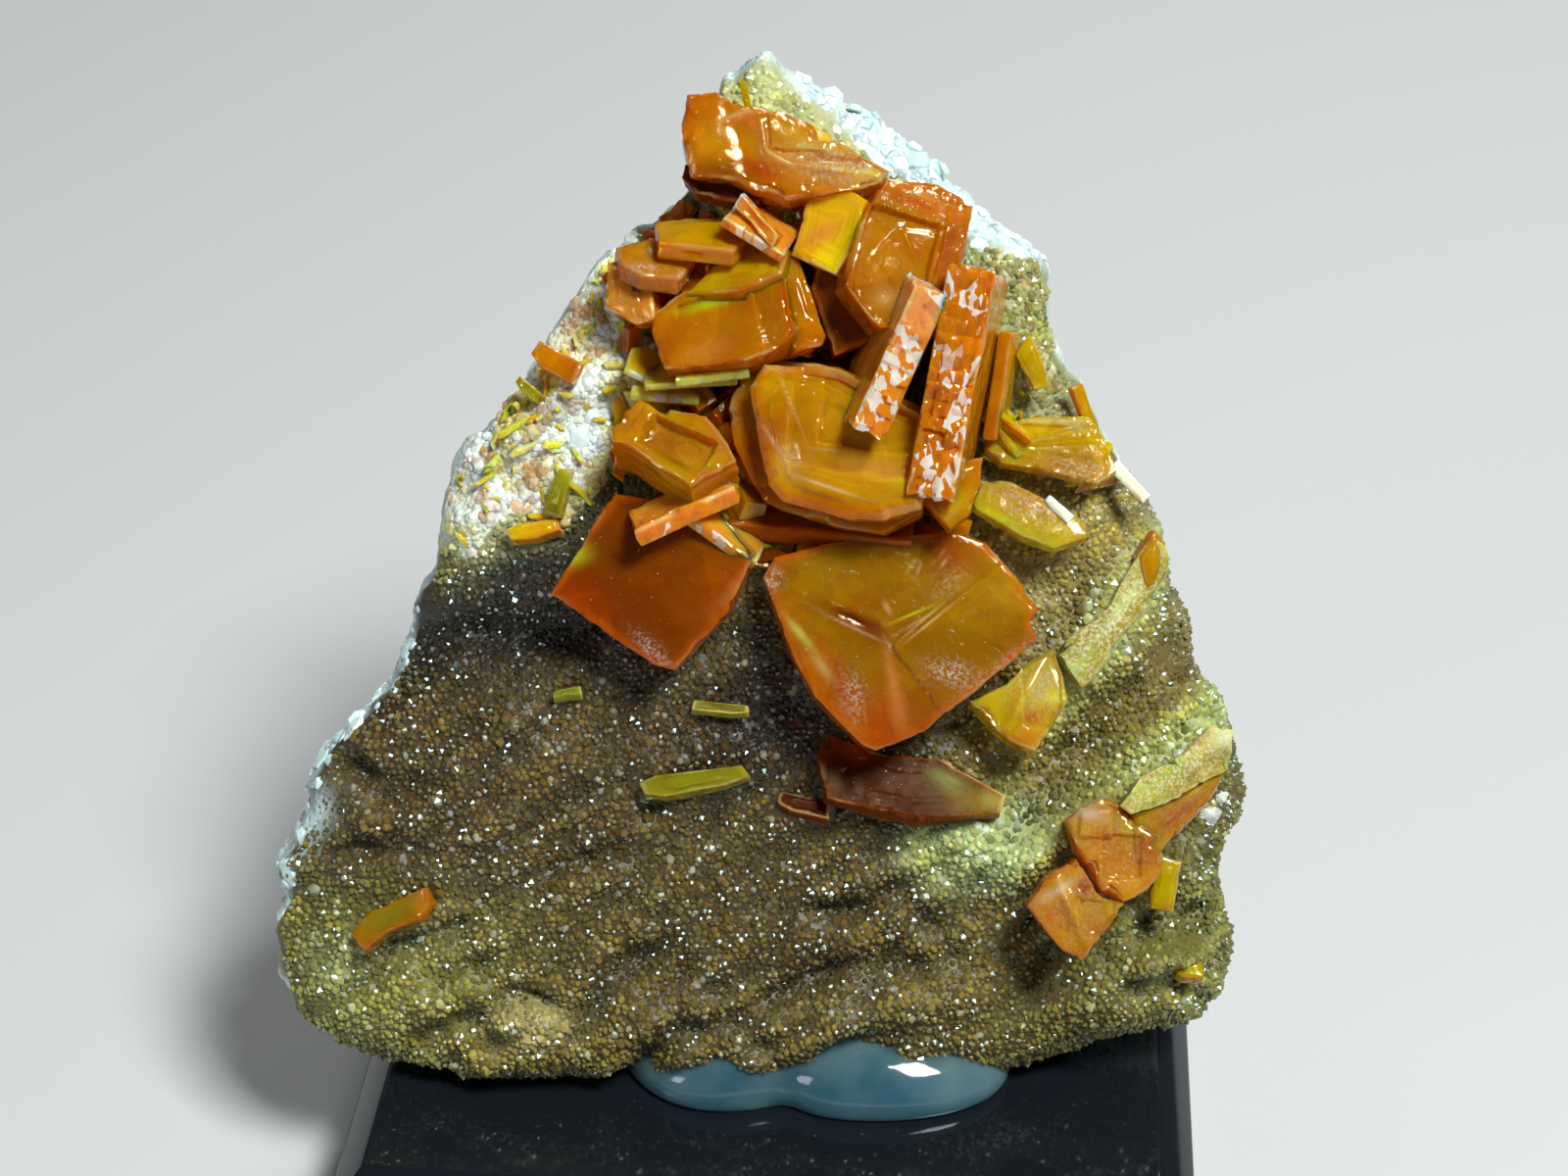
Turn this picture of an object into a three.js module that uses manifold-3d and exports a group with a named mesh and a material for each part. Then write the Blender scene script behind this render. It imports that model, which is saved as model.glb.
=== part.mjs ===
// Wulfenite specimen: clear orange tablets grown on a slab of drusy quartz. The slab leans back in
// a blob of putty on a small bevelled acrylic base.
// Units are millimetres and +Z is up. The origin is the middle of the base's underside.
import * as THREE from 'three';
import { mergeVertices } from 'three/addons/utils/BufferGeometryUtils.js';
import Module from 'manifold-3d';

const wasm = await Module();
wasm.setup();

// ---- Driving dimensions -------------------------------------------------------------------

const BASE_SIDE = 38.1; // a 1.5 inch square
const BASE_HEIGHT = 6.35; // a quarter of an inch
const BASE_BEVEL = 1.5;

// The slab has a frame of its own: u runs across its face, v up along it, and w out of it.
const LEAN = 24; // degrees that the face leans back
const TURN = 4.6; // degrees that it is turned about the vertical
const FOOT = [-0.8, -11.4, BASE_HEIGHT + 0.9]; // where u = v = w = 0 stands
const FLOOR_GAP = 0.4; // between the slab's underside and the base
const HUB = [1, 17]; // the middle that the slab's rings are drawn round

const SLAB_TOP_THICKNESS = 7;
const SLAB_FOOT_THICKNESS = 12;
const DOME = 1.5; // how far the middle of the face stands proud of its rim
const FACE_RISE = 0.5; // and how far the whole face stands off the slab's plane
const RIM_DROP = 1.1; // how far the druse rounds off at the rim
const RIM_START = 0.86; // share of the radius where it begins to

const CUT_CORNERS_FROM = 3.3; // tablets wider than this have cut corners
const GAP = 0.3; // between a crystal or the putty and the rock it sits on

const JOIN_TOLERANCE = 0.005; // edges shorter than this are dropped where solids join or cut
const AROUND = 84; // steps round the slab
const FACE_RINGS = 13;
const BACK_RINGS = 4;

// Outline of the slab in its face, anticlockwise from the apex.
const OUTLINE = [
  [0.5, 45.6], [-1.2, 44.4], [-1.8, 41.8], [-2.9, 39.6], [-5.4, 37.8], [-7.1, 36.1], [-9.1, 33.1],
  [-10.2, 31.5], [-12.3, 28.9], [-13.4, 27.2], [-14.0, 24.1], [-15.3, 20.6], [-17.1, 17.1],
  [-19.5, 14.4], [-20.0, 12.3], [-21.6, 9.5], [-21.0, 8.4], [-21.7, 6.4], [-21.1, 3.9],
  [-20.1, 2.3], [-17.4, 0.9], [-14.6, 0.2], [-11.0, -0.4], [-5.7, 0.2], [-2.2, 0.1],
  [1.4, -0.5], [5.8, -0.3], [10.7, 0.0], [15.1, 1.4], [19.0, 2.5], [20.8, 3.4], [21.5, 6.4],
  [20.9, 9.1], [21.7, 12.3], [21.5, 14.5], [20.8, 17.1], [19.6, 18.9], [18.6, 22.0],
  [17.9, 24.4], [16.4, 27.6], [14.4, 31.0], [13.5, 32.3], [13.1, 34.5], [12.7, 37.0],
  [9.8, 39.0], [7.3, 41.4], [5.6, 42.6], [3.0, 43.9], [1.5, 45.0],
];

// Lumps and hollows of the face: u, v, height, half length, half width, and the long way's angle.
const LUMPS = [
  [17.8, 14.0, 1.7, 4.2, 1.5, 34], // ridge under the lower right crystals
  [15.8, 20.6, 1.5, 4.6, 1.3, 55], // ridge along the right-hand bar
  [13.9, 15.2, -1.1, 3.2, 1.3, 40], // hollow between those two
  [9.8, 11.4, 1.0, 2.0, 1.3, 15], // pale lump below the reddish crystal
  [-9.9, 2.9, 0.8, 1.2, 1.0, 0],
  [5.1, 5.3, -0.9, 5.0, 0.7, 22], // long groove low on the face
  [6.4, 3.6, 0.6, 5.5, 1.1, 20],
  [4.0, 8.1, -0.9, 1.5, 0.9, 0],
  [-13.1, 7.5, -0.7, 2.6, 0.6, 22],
  [-17.4, 13.6, -0.7, 2.2, 0.8, 10],
  [-9.0, 15.0, 0.9, 7.5, 4.0, 30],
  [-3.0, 2.5, 0.6, 8.0, 1.7, 10],
  [-16.0, 4.0, 0.6, 4.0, 1.6, 25],
  [16.5, 4.6, 1.2, 3.2, 2.0, 25],
  [12.9, 6.6, -1.3, 2.4, 1.1, 62], // shade under the lower right tip
  [19.6, 7.6, -0.9, 1.2, 1.0, 0],
  [12.5, 10.6, 0.7, 2.2, 1.2, 30],
  [0.6, 41.0, 0.9, 2.6, 3.0, 0],
  [4.4, 32.8, -2.0, 2.4, 2.2, 0], // open pocket in the middle of the cluster
  [-9.0, 29.0, 0.8, 3.4, 1.7, 52],
  [-12.4, 25.4, 0.6, 2.2, 1.4, 60],
  [3.0, 27.0, 0.6, 8.0, 5.0, 0],
  [10.8, 35.0, 0.8, 2.6, 1.7, 70],
  [14.2, 25.2, 0.6, 2.0, 2.4, 60],
];

// The druse runs in slanting folds: height, wavelength, angle, and the bend of their course.
const FOLDS = [
  [0.30, 3.6, 27, 0.9],
  [0.14, 1.9, 34, 1.4],
  [0.10, 2.6, -48, 0.7],
];

// Where the bare quartz of the side shows beyond the druse: direction from the hub in degrees,
// half width in degrees, and how far the druse stands back.
const BARE_EDGES = [
  [172, 12, 0.9],
  [196, 9, 1.3],
  [73, 15, 1.7],
];

// Crystals, each a square or oblong tablet. A row has the node, the middle's u, v, w, the width,
// height and thickness, and four turns in degrees: spin in its own plane, side (to face right),
// up (to face up) and roll (on the slab's face, last). Rows of one node grew together.
const TABLETS = [
  ['crown_cluster', [-1.1, 41.6, 3.0], [4.3, 3.5, 2.0], [-14, -8, 12, 0]],
  ['crown_cluster', [0.2, 42.5, 3.1], [2.6, 1.6, 1.3], [-14, 0, 24, 0]],
  ['crown_cluster', [2.2, 41.9, 2.5], [3.8, 2.2, 1.5], [6, 12, 20, 0]],
  ['crown_cluster', [-1.8, 40.2, 2.5], [2.6, 1.3, 1.3], [0, -6, 20, 0]],

  // Hopper block at the upper right and the bright plate on its left.
  ['central_cluster', [6.5, 36.8, 3.7], [4.7, 6.2, 2.8], [0, 8, 14, -14]],
  ['central_cluster', [3.7, 38.2, 3.4], [3.2, 4.0, 1.3], [0, -16, 10, -10]],
  // Thin blades at the upper left.
  ['central_cluster', [0.4, 38.2, 3.6], [3.0, 2.6, 0.5], [0, -10, 62, -42]],
  ['central_cluster', [-2.0, 37.9, 2.7], [4.6, 2.8, 0.8], [0, 0, 66, -2]],
  ['central_cluster', [-3.9, 36.9, 2.6], [3.6, 3.2, 0.9], [0, 0, 58, -4]],
  ['central_cluster', [-4.8, 35.5, 2.4], [3.0, 2.9, 1.2], [0, -22, 12, 4]],
  // Fan of plates below them.
  ['central_cluster', [-0.6, 34.5, 3.9], [6.6, 3.6, 1.6], [0, -6, 24, 13]],
  ['central_cluster', [-0.8, 36.2, 3.5], [5.8, 3.0, 0.7], [0, 0, 50, 20]],
  ['central_cluster', [2.1, 35.1, 3.4], [1.9, 4.6, 1.3], [0, 28, 12, 24]],
  ['central_cluster', [-1.5, 35.4, 4.9], [3.2, 0.9, 0.8], [0, 0, 20, 12]],
  ['central_cluster', [-1.6, 32.4, 3.3], [3.2, 3.2, 0.5], [0, 0, 74, 7]],
  ['central_cluster', [-3.6, 31.6, 2.3], [3.2, 3.0, 0.5], [0, 0, 66, -5]],
  // Big stepped tablet in the middle.
  ['central_cluster', [3.0, 29.4, 3.5], [8.2, 7.0, 2.0], [-8, -6, 12, 0]],
  ['central_cluster', [3.4, 29.3, 5.1], [7.2, 6.1, 1.7], [-8, -6, 12, 0]],
  // Two tablets that stand edge on.
  ['central_cluster', [5.8, 33.2, 4.6], [5.6, 7.0, 1.5], [0, -80, 0, -24]],
  ['central_cluster', [8.7, 31.8, 4.4], [6.0, 10.2, 2.0], [0, 79, 0, -10]],
  // Stack over the left tablet, and the blades tucked under the middle.
  ['central_cluster', [-3.3, 29.1, 4.0], [4.3, 3.5, 2.6], [-30, -4, 36, 0]],
  ['central_cluster', [-3.5, 26.5, 4.4], [3.9, 3.2, 0.8], [0, 0, 70, 22]],
  ['central_cluster', [-1.1, 25.5, 3.8], [3.6, 2.4, 0.6], [0, 0, 56, -42]],
  ['central_cluster', [2.8, 26.1, 2.7], [9.0, 3.2, 1.0], [0, 0, 48, -6]],
  // The two large square tablets at the foot of the cluster.
  ['central_cluster', [-4.3, 23.3, 3.7], [6.6, 6.2, 1.4], [-35, -6, 12, 0]],
  ['central_cluster', [6.3, 22.3, 3.7], [9.7, 9.5, 1.9], [37, 4, 14, 0]],
  ['central_cluster', [8.4, 20.4, 4.9], [5.6, 3.4, 1.0], [38, 8, 14, 0]],

  ['amber_cluster', [11.3, 31.8, 2.1], [3.0, 4.4, 0.8], [0, 74, 0, -6]],
  ['amber_cluster', [12.2, 29.7, 2.1], [4.2, 3.4, 0.8], [0, 0, 60, -3]],
  ['amber_cluster', [13.8, 28.0, 1.8], [4.9, 3.2, 1.0], [-16, 16, 22, 0]],
  ['amber_corner_tablet', [12.1, 25.7, 2.6], [3.7, 2.3, 1.0], [0, 0, 36, -18]],
  ['small_upright_tablet', [13.1, 33.1, 1.5], [1.2, 2.5, 0.7], [0, 20, 6, 22]],
  ['thin_edge_tablet', [14.7, 31.3, 0.7], [1.5, 1.9, 0.5], [0, 50, 0, 30]],
  ['reddish_tablet', [6.6, 14.2, 2.4], [8.8, 3.2, 1.4], [0, 0, 26, -12]],
  ['right_bar', [12.5, 18.4, 2.7], [5.2, 2.5, 2.0], [0, 0, 14, 45]],
  ['right_bar', [14.0, 20.3, 2.4], [4.4, 1.6, 1.4], [0, 0, 14, 50]],
  ['lower_right_cluster', [15.9, 11.9, 3.2], [3.8, 3.6, 2.0], [36, 8, 16, 0]],
  ['lower_right_cluster', [14.2, 9.1, 3.8], [3.6, 2.5, 2.2], [44, -8, 10, 0]],
  ['lower_right_cluster', [18.3, 13.6, 3.0], [4.8, 2.4, 1.8], [0, 8, 20, 27]],
  ['lower_right_needle', [18.1, 9.5, 1.8], [1.1, 2.3, 0.7], [0, 0, 8, -10]],
  ['lower_right_chip', [19.3, 5.4, 1.5], [1.3, 0.8, 0.8], [0, 0, 36, 0]],
  ['left_flake', [-15.9, 7.8, 1.6], [3.7, 1.4, 0.9], [0, 0, 26, 28]],
  ['yellow_needle', [-2.5, 14.1, 2.6], [5.0, 1.1, 0.9], [0, 0, 30, 5]],
  ['small_red_needle', [2.2, 13.0, 2.1], [2.5, 0.8, 0.8], [0, 0, 36, -12]],
  ['green_needle', [-1.4, 17.5, 2.9], [3.0, 0.7, 0.8], [0, 0, 36, -6]],
  ['short_green_needle', [-8.0, 18.1, 2.6], [1.6, 0.7, 0.8], [0, 0, 36, 8]],
  ['left_amber_flake', [-9.5, 25.1, 1.8], [2.7, 1.0, 0.9], [0, 0, 28, 10]],
  ['left_amber_blade', [-7.6, 27.7, 2.0], [1.3, 3.4, 0.9], [0, -20, 0, -12]],
  ['broken_tablet', [-7.9, 32.2, 1.2], [2.6, 1.8, 1.2], [20, -10, 16, 0]],
  ['broken_chip', [-9.8, 30.6, 0.8], [1.6, 1.2, 1.0], [-24, -14, 10, 0]],
  ['right_edge_blade', [17.1, 23.8, 1.2], [1.4, 3.0, 1.0], [0, 34, 0, 22]],
];

// Sunken middles of stepped crystals, in the same form, cut out of the node that they name.
const SUNK_MIDDLES = [
  ['central_cluster', [4.0, 30.3, 5.9], [5.0, 4.2, 1.2], [-8, -6, 12, 0]],
  ['central_cluster', [6.0, 36.2, 5.2], [2.5, 3.6, 1.4], [0, 8, 14, -15]],
  ['central_cluster', [-3.4, 29.4, 5.2], [2.8, 2.0, 0.9], [-30, -4, 36, 0]],
];

// Putty: middle on the base, half width and half depth, height, and its two lobes.
const PUTTY = { x: 2.0, y: -8.0, halfWidth: 8.3, halfDepth: 5.1, height: 3.4, lobe: 0.07 };
const PUTTY_AROUND = 36;
const PUTTY_RINGS = 6;

// ---- Materials ----------------------------------------------------------------------------

function finish(color, roughness, metalness = 0, opacity = 1) {
  return new THREE.MeshStandardMaterial({
    color, roughness, metalness, opacity, transparent: opacity < 1,
  });
}

const ROCK = finish('#8a5a2a', 0.5);
const ACRYLIC = finish('#0b0d10', 0.08);
const PUTTY_FINISH = finish('#c9d6da', 0.15, 0, 0.7);
const CRYSTAL = finish('#e0700a', 0.12, 0, 0.85);

// ---- Solids -------------------------------------------------------------------------------

const radians = THREE.MathUtils.degToRad;

function toSolid(geometry) {
  const bare = geometry.clone();
  bare.deleteAttribute('normal');
  bare.deleteAttribute('uv');
  const merged = mergeVertices(bare, 1e-5);
  return new wasm.Manifold(new wasm.Mesh({
    numProp: 3,
    vertProperties: new Float32Array(merged.attributes.position.array),
    triVerts: new Uint32Array(merged.index.array),
    tolerance: JOIN_TOLERANCE,
  }));
}

function toMesh(name, solid, material) {
  const { vertProperties, triVerts } = solid.getMesh();
  const geometry = new THREE.BufferGeometry();
  geometry.setAttribute('position', new THREE.BufferAttribute(new Float32Array(vertProperties), 3));
  geometry.setIndex(new THREE.BufferAttribute(new Uint32Array(triVerts), 1));
  geometry.computeVertexNormals();
  const mesh = new THREE.Mesh(geometry, material);
  mesh.name = name;
  return mesh;
}

// A closed skin over rings of points, with a pole at each end.
function skin(firstPole, rings, lastPole) {
  const around = rings[0].length;
  const points = [firstPole, ...rings.flat(), lastPole];
  const last = points.length - 1;
  const at = (ring, step) => 1 + ring * around + (step % around);
  const triangles = [];
  for (let step = 0; step < around; step++) {
    triangles.push(0, at(0, step), at(0, step + 1));
    triangles.push(last, at(rings.length - 1, step + 1), at(rings.length - 1, step));
    for (let ring = 0; ring < rings.length - 1; ring++) {
      const [a, b] = [at(ring, step), at(ring, step + 1)];
      const [c, d] = [at(ring + 1, step + 1), at(ring + 1, step)];
      triangles.push(a, d, c, a, c, b);
    }
  }
  const geometry = new THREE.BufferGeometry();
  geometry.setAttribute('position', new THREE.Float32BufferAttribute(points.flat(), 3));
  geometry.setIndex(triangles);
  return geometry;
}

// ---- The slab of rock ---------------------------------------------------------------------

// A soft hill over an ellipse: 1 at its middle and falling away like a bell.
function bell(u, v, length, width, degrees) {
  const along = u * Math.cos(radians(degrees)) + v * Math.sin(radians(degrees));
  const across = v * Math.cos(radians(degrees)) - u * Math.sin(radians(degrees));
  return Math.exp(-((along / length) ** 2) - (across / width) ** 2);
}

// Height of the face over the slab's plane. reach is 0 at the hub and 1 at the rim.
function faceHeight(u, v, reach) {
  let height = FACE_RISE + DOME * (1 - reach ** 2);
  for (const [lumpU, lumpV, rise, length, width, degrees] of LUMPS) {
    height += rise * bell(u - lumpU, v - lumpV, length, width, degrees);
  }
  for (const [rise, wavelength, degrees, bend] of FOLDS) {
    const across = v * Math.cos(radians(degrees)) - u * Math.sin(radians(degrees));
    height += rise * Math.sin((2 * Math.PI * across) / wavelength + bend * Math.sin(0.6 * u + 0.3 * v));
  }
  const rounding = Math.max(0, (reach - RIM_START) / (1 - RIM_START));
  return height - RIM_DROP * rounding ** 2;
}

// Depth of the broken back: a slope that thins towards the top, with flat scars struck off it.
function backDepth(u, v) {
  const share = THREE.MathUtils.clamp(v / 44, 0, 1);
  const slope = THREE.MathUtils.lerp(SLAB_FOOT_THICKNESS, SLAB_TOP_THICKNESS, share);
  const scar = Math.min(0.9, 0.35 * Math.abs(Math.sin(0.31 * u + 0.17 * v)) * 3);
  const dent = 0.8 * Math.sin(0.43 * u - 0.29 * v + 1) + 0.4 * Math.sin(0.9 * v + 0.5 * u);
  return -(slope - scar + 0.6 * dent);
}

function bareEdge(u, v) {
  const direction = THREE.MathUtils.euclideanModulo(
    THREE.MathUtils.radToDeg(Math.atan2(v - HUB[1], u - HUB[0])), 360);
  return BARE_EDGES.reduce((total, [middle, half, back]) =>
    total + back * Math.exp(-(((direction - middle) / half) ** 2)), 0.2);
}

// Lifts a point that would reach lower than the given gap over the base.
function aboveBase([u, v, w], gap) {
  const lowest = BASE_HEIGHT + gap - FOOT[2];
  const rise = (lowest - w * Math.sin(radians(LEAN))) / Math.cos(radians(LEAN));
  return [u, Math.max(v, rise), w];
}

// The whole slab. grow swells it, for cutting its seat out of what grew on it.
function slabGeometry(grow = 0) {
  const gap = FLOOR_GAP - grow;
  const curve = new THREE.CatmullRomCurve3(
    OUTLINE.map(([u, v]) => new THREE.Vector3(u, v, 0)), true, 'catmullrom', 0.5);
  const edge = curve.getPoints(AROUND).slice(0, AROUND);
  // A point at some share of the way from the hub to the edge, drawn in by a few millimetres.
  const towards = (point, share, inset) => {
    const out = [point.x - HUB[0], point.y - HUB[1]];
    const length = Math.hypot(...out);
    const reach = share * (length - inset + grow) / length;
    return [HUB[0] + out[0] * reach, HUB[1] + out[1] * reach];
  };
  const facePoint = (point, reach) => {
    const [u, v] = towards(point, reach, bareEdge(point.x, point.y));
    return aboveBase([u, v, faceHeight(u, v, reach) + grow], gap);
  };
  const backPoint = (point, reach) => {
    const [u, v] = towards(point, reach, 1.4);
    return aboveBase([u, v, backDepth(u, v) + 1.5 * reach ** 6 - grow], gap);
  };
  const wallPoint = (point, depth, inset) => {
    const [u, v] = towards(point, 1, inset);
    const chipped = 0.25 * Math.sin(1.7 * u + 2.3 * v) + 0.2 * Math.sin(3.1 * v - 1.3 * u);
    return aboveBase([u, v, depth * (SLAB_TOP_THICKNESS + chipped)], gap);
  };
  const rings = [];
  for (let ring = 1; ring <= FACE_RINGS; ring++) {
    rings.push(edge.map((point) => facePoint(point, ring / FACE_RINGS)));
  }
  rings.push(edge.map((point) => wallPoint(point, -0.26, 0)));
  rings.push(edge.map((point) => wallPoint(point, -0.5, 0.25 + 0.2 * Math.sin(point.x + 2 * point.y))));
  rings.push(edge.map((point) => wallPoint(point, -0.75, 0.8 + 0.3 * Math.sin(2 * point.x - point.y))));
  for (let ring = BACK_RINGS; ring >= 1; ring--) {
    rings.push(edge.map((point) => backPoint(point, ring / BACK_RINGS)));
  }
  return skin([...HUB, faceHeight(...HUB, 0) + grow], rings, [...HUB, backDepth(...HUB) - grow]);
}

// ---- Crystals -----------------------------------------------------------------------------

// One tablet: a plate with cut corners and bevelled edges, centred on the origin.
function tabletGeometry([width, height, thickness]) {
  const [x, y] = [width / 2, height / 2];
  const cut = 0.1 * Math.min(width, height);
  const bevel = Math.min(0.32 * thickness, 0.16 * Math.min(width, height));
  const square = [[-x, -y], [x, -y], [x, y], [-x, y]];
  const cutSquare = [
    [-x + cut, -y], [x - cut, -y], [x, -y + cut], [x, y - cut],
    [x - cut, y], [-x + cut, y], [-x, y - cut], [-x, -y + cut],
  ];
  const corners = Math.min(width, height) > CUT_CORNERS_FROM ? cutSquare : square;
  const shape = new THREE.Shape(corners.map(([a, b]) => new THREE.Vector2(a, b)));
  const geometry = new THREE.ExtrudeGeometry(shape, {
    depth: thickness - 2 * bevel,
    bevelEnabled: true,
    bevelThickness: bevel,
    bevelSize: bevel,
    bevelOffset: -bevel,
    bevelSegments: 1,
  });
  return geometry.translate(0, 0, bevel - thickness / 2);
}

function tabletSolid([, middle, size, [spin, side, up, roll]]) {
  const turn = new THREE.Matrix4().makeRotationZ(radians(roll))
    .multiply(new THREE.Matrix4().makeRotationX(-radians(up)))
    .multiply(new THREE.Matrix4().makeRotationY(radians(side)))
    .multiply(new THREE.Matrix4().makeRotationZ(radians(spin)));
  const geometry = tabletGeometry(size).applyMatrix4(turn).translate(...middle);
  return toSolid(geometry);
}

function crystalSolid(node, seat) {
  const grown = TABLETS.filter(([name]) => name === node).map(tabletSolid);
  const sunk = SUNK_MIDDLES.filter(([name]) => name === node).map(tabletSolid);
  const joined = grown.reduce((whole, tablet) => whole.add(tablet));
  return sunk.reduce((whole, hollow) => whole.subtract(hollow), joined).subtract(seat);
}

// ---- Base and putty -----------------------------------------------------------------------

function baseGeometry() {
  const half = BASE_SIDE / 2;
  const top = half - BASE_BEVEL;
  const square = (size, z) => [[-size, -size, z], [size, -size, z], [size, size, z], [-size, size, z]];
  const rings = [square(top, BASE_HEIGHT), square(half, BASE_HEIGHT - BASE_BEVEL), square(half, 0)];
  return skin([0, 0, BASE_HEIGHT], rings, [0, 0, 0]);
}

// A low mound with a rounded edge and a flat foot, pinched in front between its two lobes.
function puttyGeometry() {
  const ring = (reach, z) => Array.from({ length: PUTTY_AROUND }, (_, step) => {
    const angle = (2 * Math.PI * step) / PUTTY_AROUND;
    const swell = reach * (1 + PUTTY.lobe * Math.cos(2 * angle) - 0.05 * Math.sin(3 * angle + 0.6));
    return [
      PUTTY.x + PUTTY.halfWidth * swell * Math.cos(angle),
      PUTTY.y + PUTTY.halfDepth * swell * Math.sin(angle),
      z,
    ];
  });
  const foot = BASE_HEIGHT + 0.02;
  const rings = [];
  for (let step = 1; step <= PUTTY_RINGS; step++) {
    const angle = (Math.PI / 2) * (step / PUTTY_RINGS);
    rings.push(ring(Math.sin(angle), foot + 0.35 + (PUTTY.height - 0.35) * Math.cos(angle)));
  }
  rings.push(ring(0.97, foot));
  return skin([PUTTY.x, PUTTY.y, foot + PUTTY.height], rings, [PUTTY.x, PUTTY.y, foot]);
}

// ---- The specimen -------------------------------------------------------------------------

const specimen = new THREE.Group();

const onBase = new THREE.Matrix4().makeTranslation(...FOOT)
  .multiply(new THREE.Matrix4().makeRotationZ(radians(TURN)))
  .multiply(new THREE.Matrix4().makeRotationX(radians(90 - LEAN)));

const slab = new THREE.Group();
slab.applyMatrix4(onBase);
specimen.add(slab);

slab.add(toMesh('matrix', toSolid(slabGeometry()), ROCK));
const seat = toSolid(slabGeometry(GAP));
for (const node of new Set(TABLETS.map(([name]) => name))) {
  slab.add(toMesh(node, crystalSolid(node, seat), CRYSTAL));
}

const seatOnBase = toSolid(slabGeometry(GAP).applyMatrix4(onBase));
specimen.add(toMesh('putty', toSolid(puttyGeometry()).subtract(seatOnBase), PUTTY_FINISH));
specimen.add(toMesh('base', toSolid(baseGeometry()), ACRYLIC));

export default specimen;
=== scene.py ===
# %% [markdown]
# # Wulfenite on drusy quartz
# A hand-sized mineral specimen: orange tablets of wulfenite on a slab of rock that sparkles with tiny
# quartz points. The slab leans back in a blob of putty on a small acrylic base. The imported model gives
# the frame: where every piece stands. This script gives each piece its fine shape and its finish.
# Lengths are worked out in millimetres and turned into metres where a mesh is made.

import bpy
import numpy as np
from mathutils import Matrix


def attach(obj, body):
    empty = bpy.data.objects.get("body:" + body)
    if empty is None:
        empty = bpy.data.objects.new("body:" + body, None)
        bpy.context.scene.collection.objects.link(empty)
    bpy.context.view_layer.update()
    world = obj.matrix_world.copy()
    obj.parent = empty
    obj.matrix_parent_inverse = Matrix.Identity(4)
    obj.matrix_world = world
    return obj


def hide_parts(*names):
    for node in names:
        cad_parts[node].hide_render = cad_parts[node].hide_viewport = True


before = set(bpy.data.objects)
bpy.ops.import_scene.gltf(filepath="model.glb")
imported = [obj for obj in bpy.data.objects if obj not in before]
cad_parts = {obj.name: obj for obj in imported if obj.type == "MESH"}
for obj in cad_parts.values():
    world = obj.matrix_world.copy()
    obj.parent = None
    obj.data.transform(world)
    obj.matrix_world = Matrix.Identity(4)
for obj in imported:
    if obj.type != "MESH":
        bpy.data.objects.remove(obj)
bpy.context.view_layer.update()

# %% [markdown]
# ## Where the slab stands
# The slab has a frame of its own, with u across its face, v up along it and w out of it. Working there
# keeps every crystal's place easy to read. One turn and one shift then carry it to the base.

# %% The slab's frame
MM = 0.001
BASE_SIDE, BASE_HEIGHT, BASE_BEVEL = 38.1, 6.35, 1.5
LEAN, TURN = 24, 4.6
FOOT = np.array([-0.8, -11.4, BASE_HEIGHT + 0.9])


def turn_about(axis, degrees):
    """The matrix that turns about x, y or z: cosines on the diagonal and sines across it."""
    c, s = np.cos(np.radians(degrees)), np.sin(np.radians(degrees))
    first, second = {"x": (1, 2), "y": (2, 0), "z": (0, 1)}[axis]
    matrix = np.eye(3)
    matrix[[first, second], [first, second]] = c
    matrix[first, second], matrix[second, first] = -s, s
    return matrix


SLAB_TURN = turn_about("z", TURN) @ turn_about("x", 90 - LEAN)


def to_base(points):
    """Slab points to points over the base: the turn matrix times each point, plus the foot."""
    return FOOT + np.asarray(points) @ SLAB_TURN.T


print("the slab's face points along", np.round(SLAB_TURN[:, 2], 2))

# %% [markdown]
# ## Uneven surfaces
# Nothing on a rock is smooth. Random heights on a lattice, blended between the crossings, give soft
# relief, and several sizes of it added up look like broken stone. Flat cells that each tip their own
# way look like the mosaic of growth facets on a crystal's side.

# %% Random relief
def lattice_noise(x, y, seed):
    """Random heights from -1 to 1 on whole numbers, blended between them by 3t^2 - 2t^3."""
    table = np.random.default_rng(seed).uniform(-1, 1, (64, 64))
    column, row = np.floor(x).astype(int), np.floor(y).astype(int)
    across, up = x - column, y - row
    across, up = across**2 * (3 - 2 * across), up**2 * (3 - 2 * up)
    low = table[column % 64, row % 64] * (1 - across) + table[(column + 1) % 64, row % 64] * across
    row = row + 1
    high = table[column % 64, row % 64] * (1 - across) + table[(column + 1) % 64, row % 64] * across
    return low * (1 - up) + high * up


def rough(x, y, size, octaves=3, seed=0):
    """Lattice noise at several sizes added up, each with half the size and height of the last."""
    return sum(lattice_noise(x * 2**k / size, y * 2**k / size, seed + k) / 2**k for k in range(octaves))


def facets(x, y, size, seed=0):
    """Square cells, each a plane of its own: a height plus a slope times the place in the cell."""
    tables = np.random.default_rng(seed).uniform(-1, 1, (3, 64, 64))
    x, y = x / size + 0.25 * lattice_noise(y / size, x / size, seed), y / size
    column, row = np.floor(x).astype(int), np.floor(y).astype(int)
    height, slope_x, slope_y = tables[:, column % 64, row % 64]
    return 0.5 * height + slope_x * (x - column - 0.5) + slope_y * (y - row - 0.5)


def bell(u, v, length, width, degrees):
    """A soft hill over an ellipse: e to the minus (along / length)^2 + (across / width)^2."""
    c, s = np.cos(np.radians(degrees)), np.sin(np.radians(degrees))
    along, across = u * c + v * s, v * c - u * s
    return np.exp(-((along / length) ** 2) - (across / width) ** 2)


# %% [markdown]
# ## From arrays to meshes
# Every shape here is a lattice of points: rings that go round something. Neighbouring rings are
# joined by quads and each end closes on one point, so a skin is closed by the way it is made.

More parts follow.
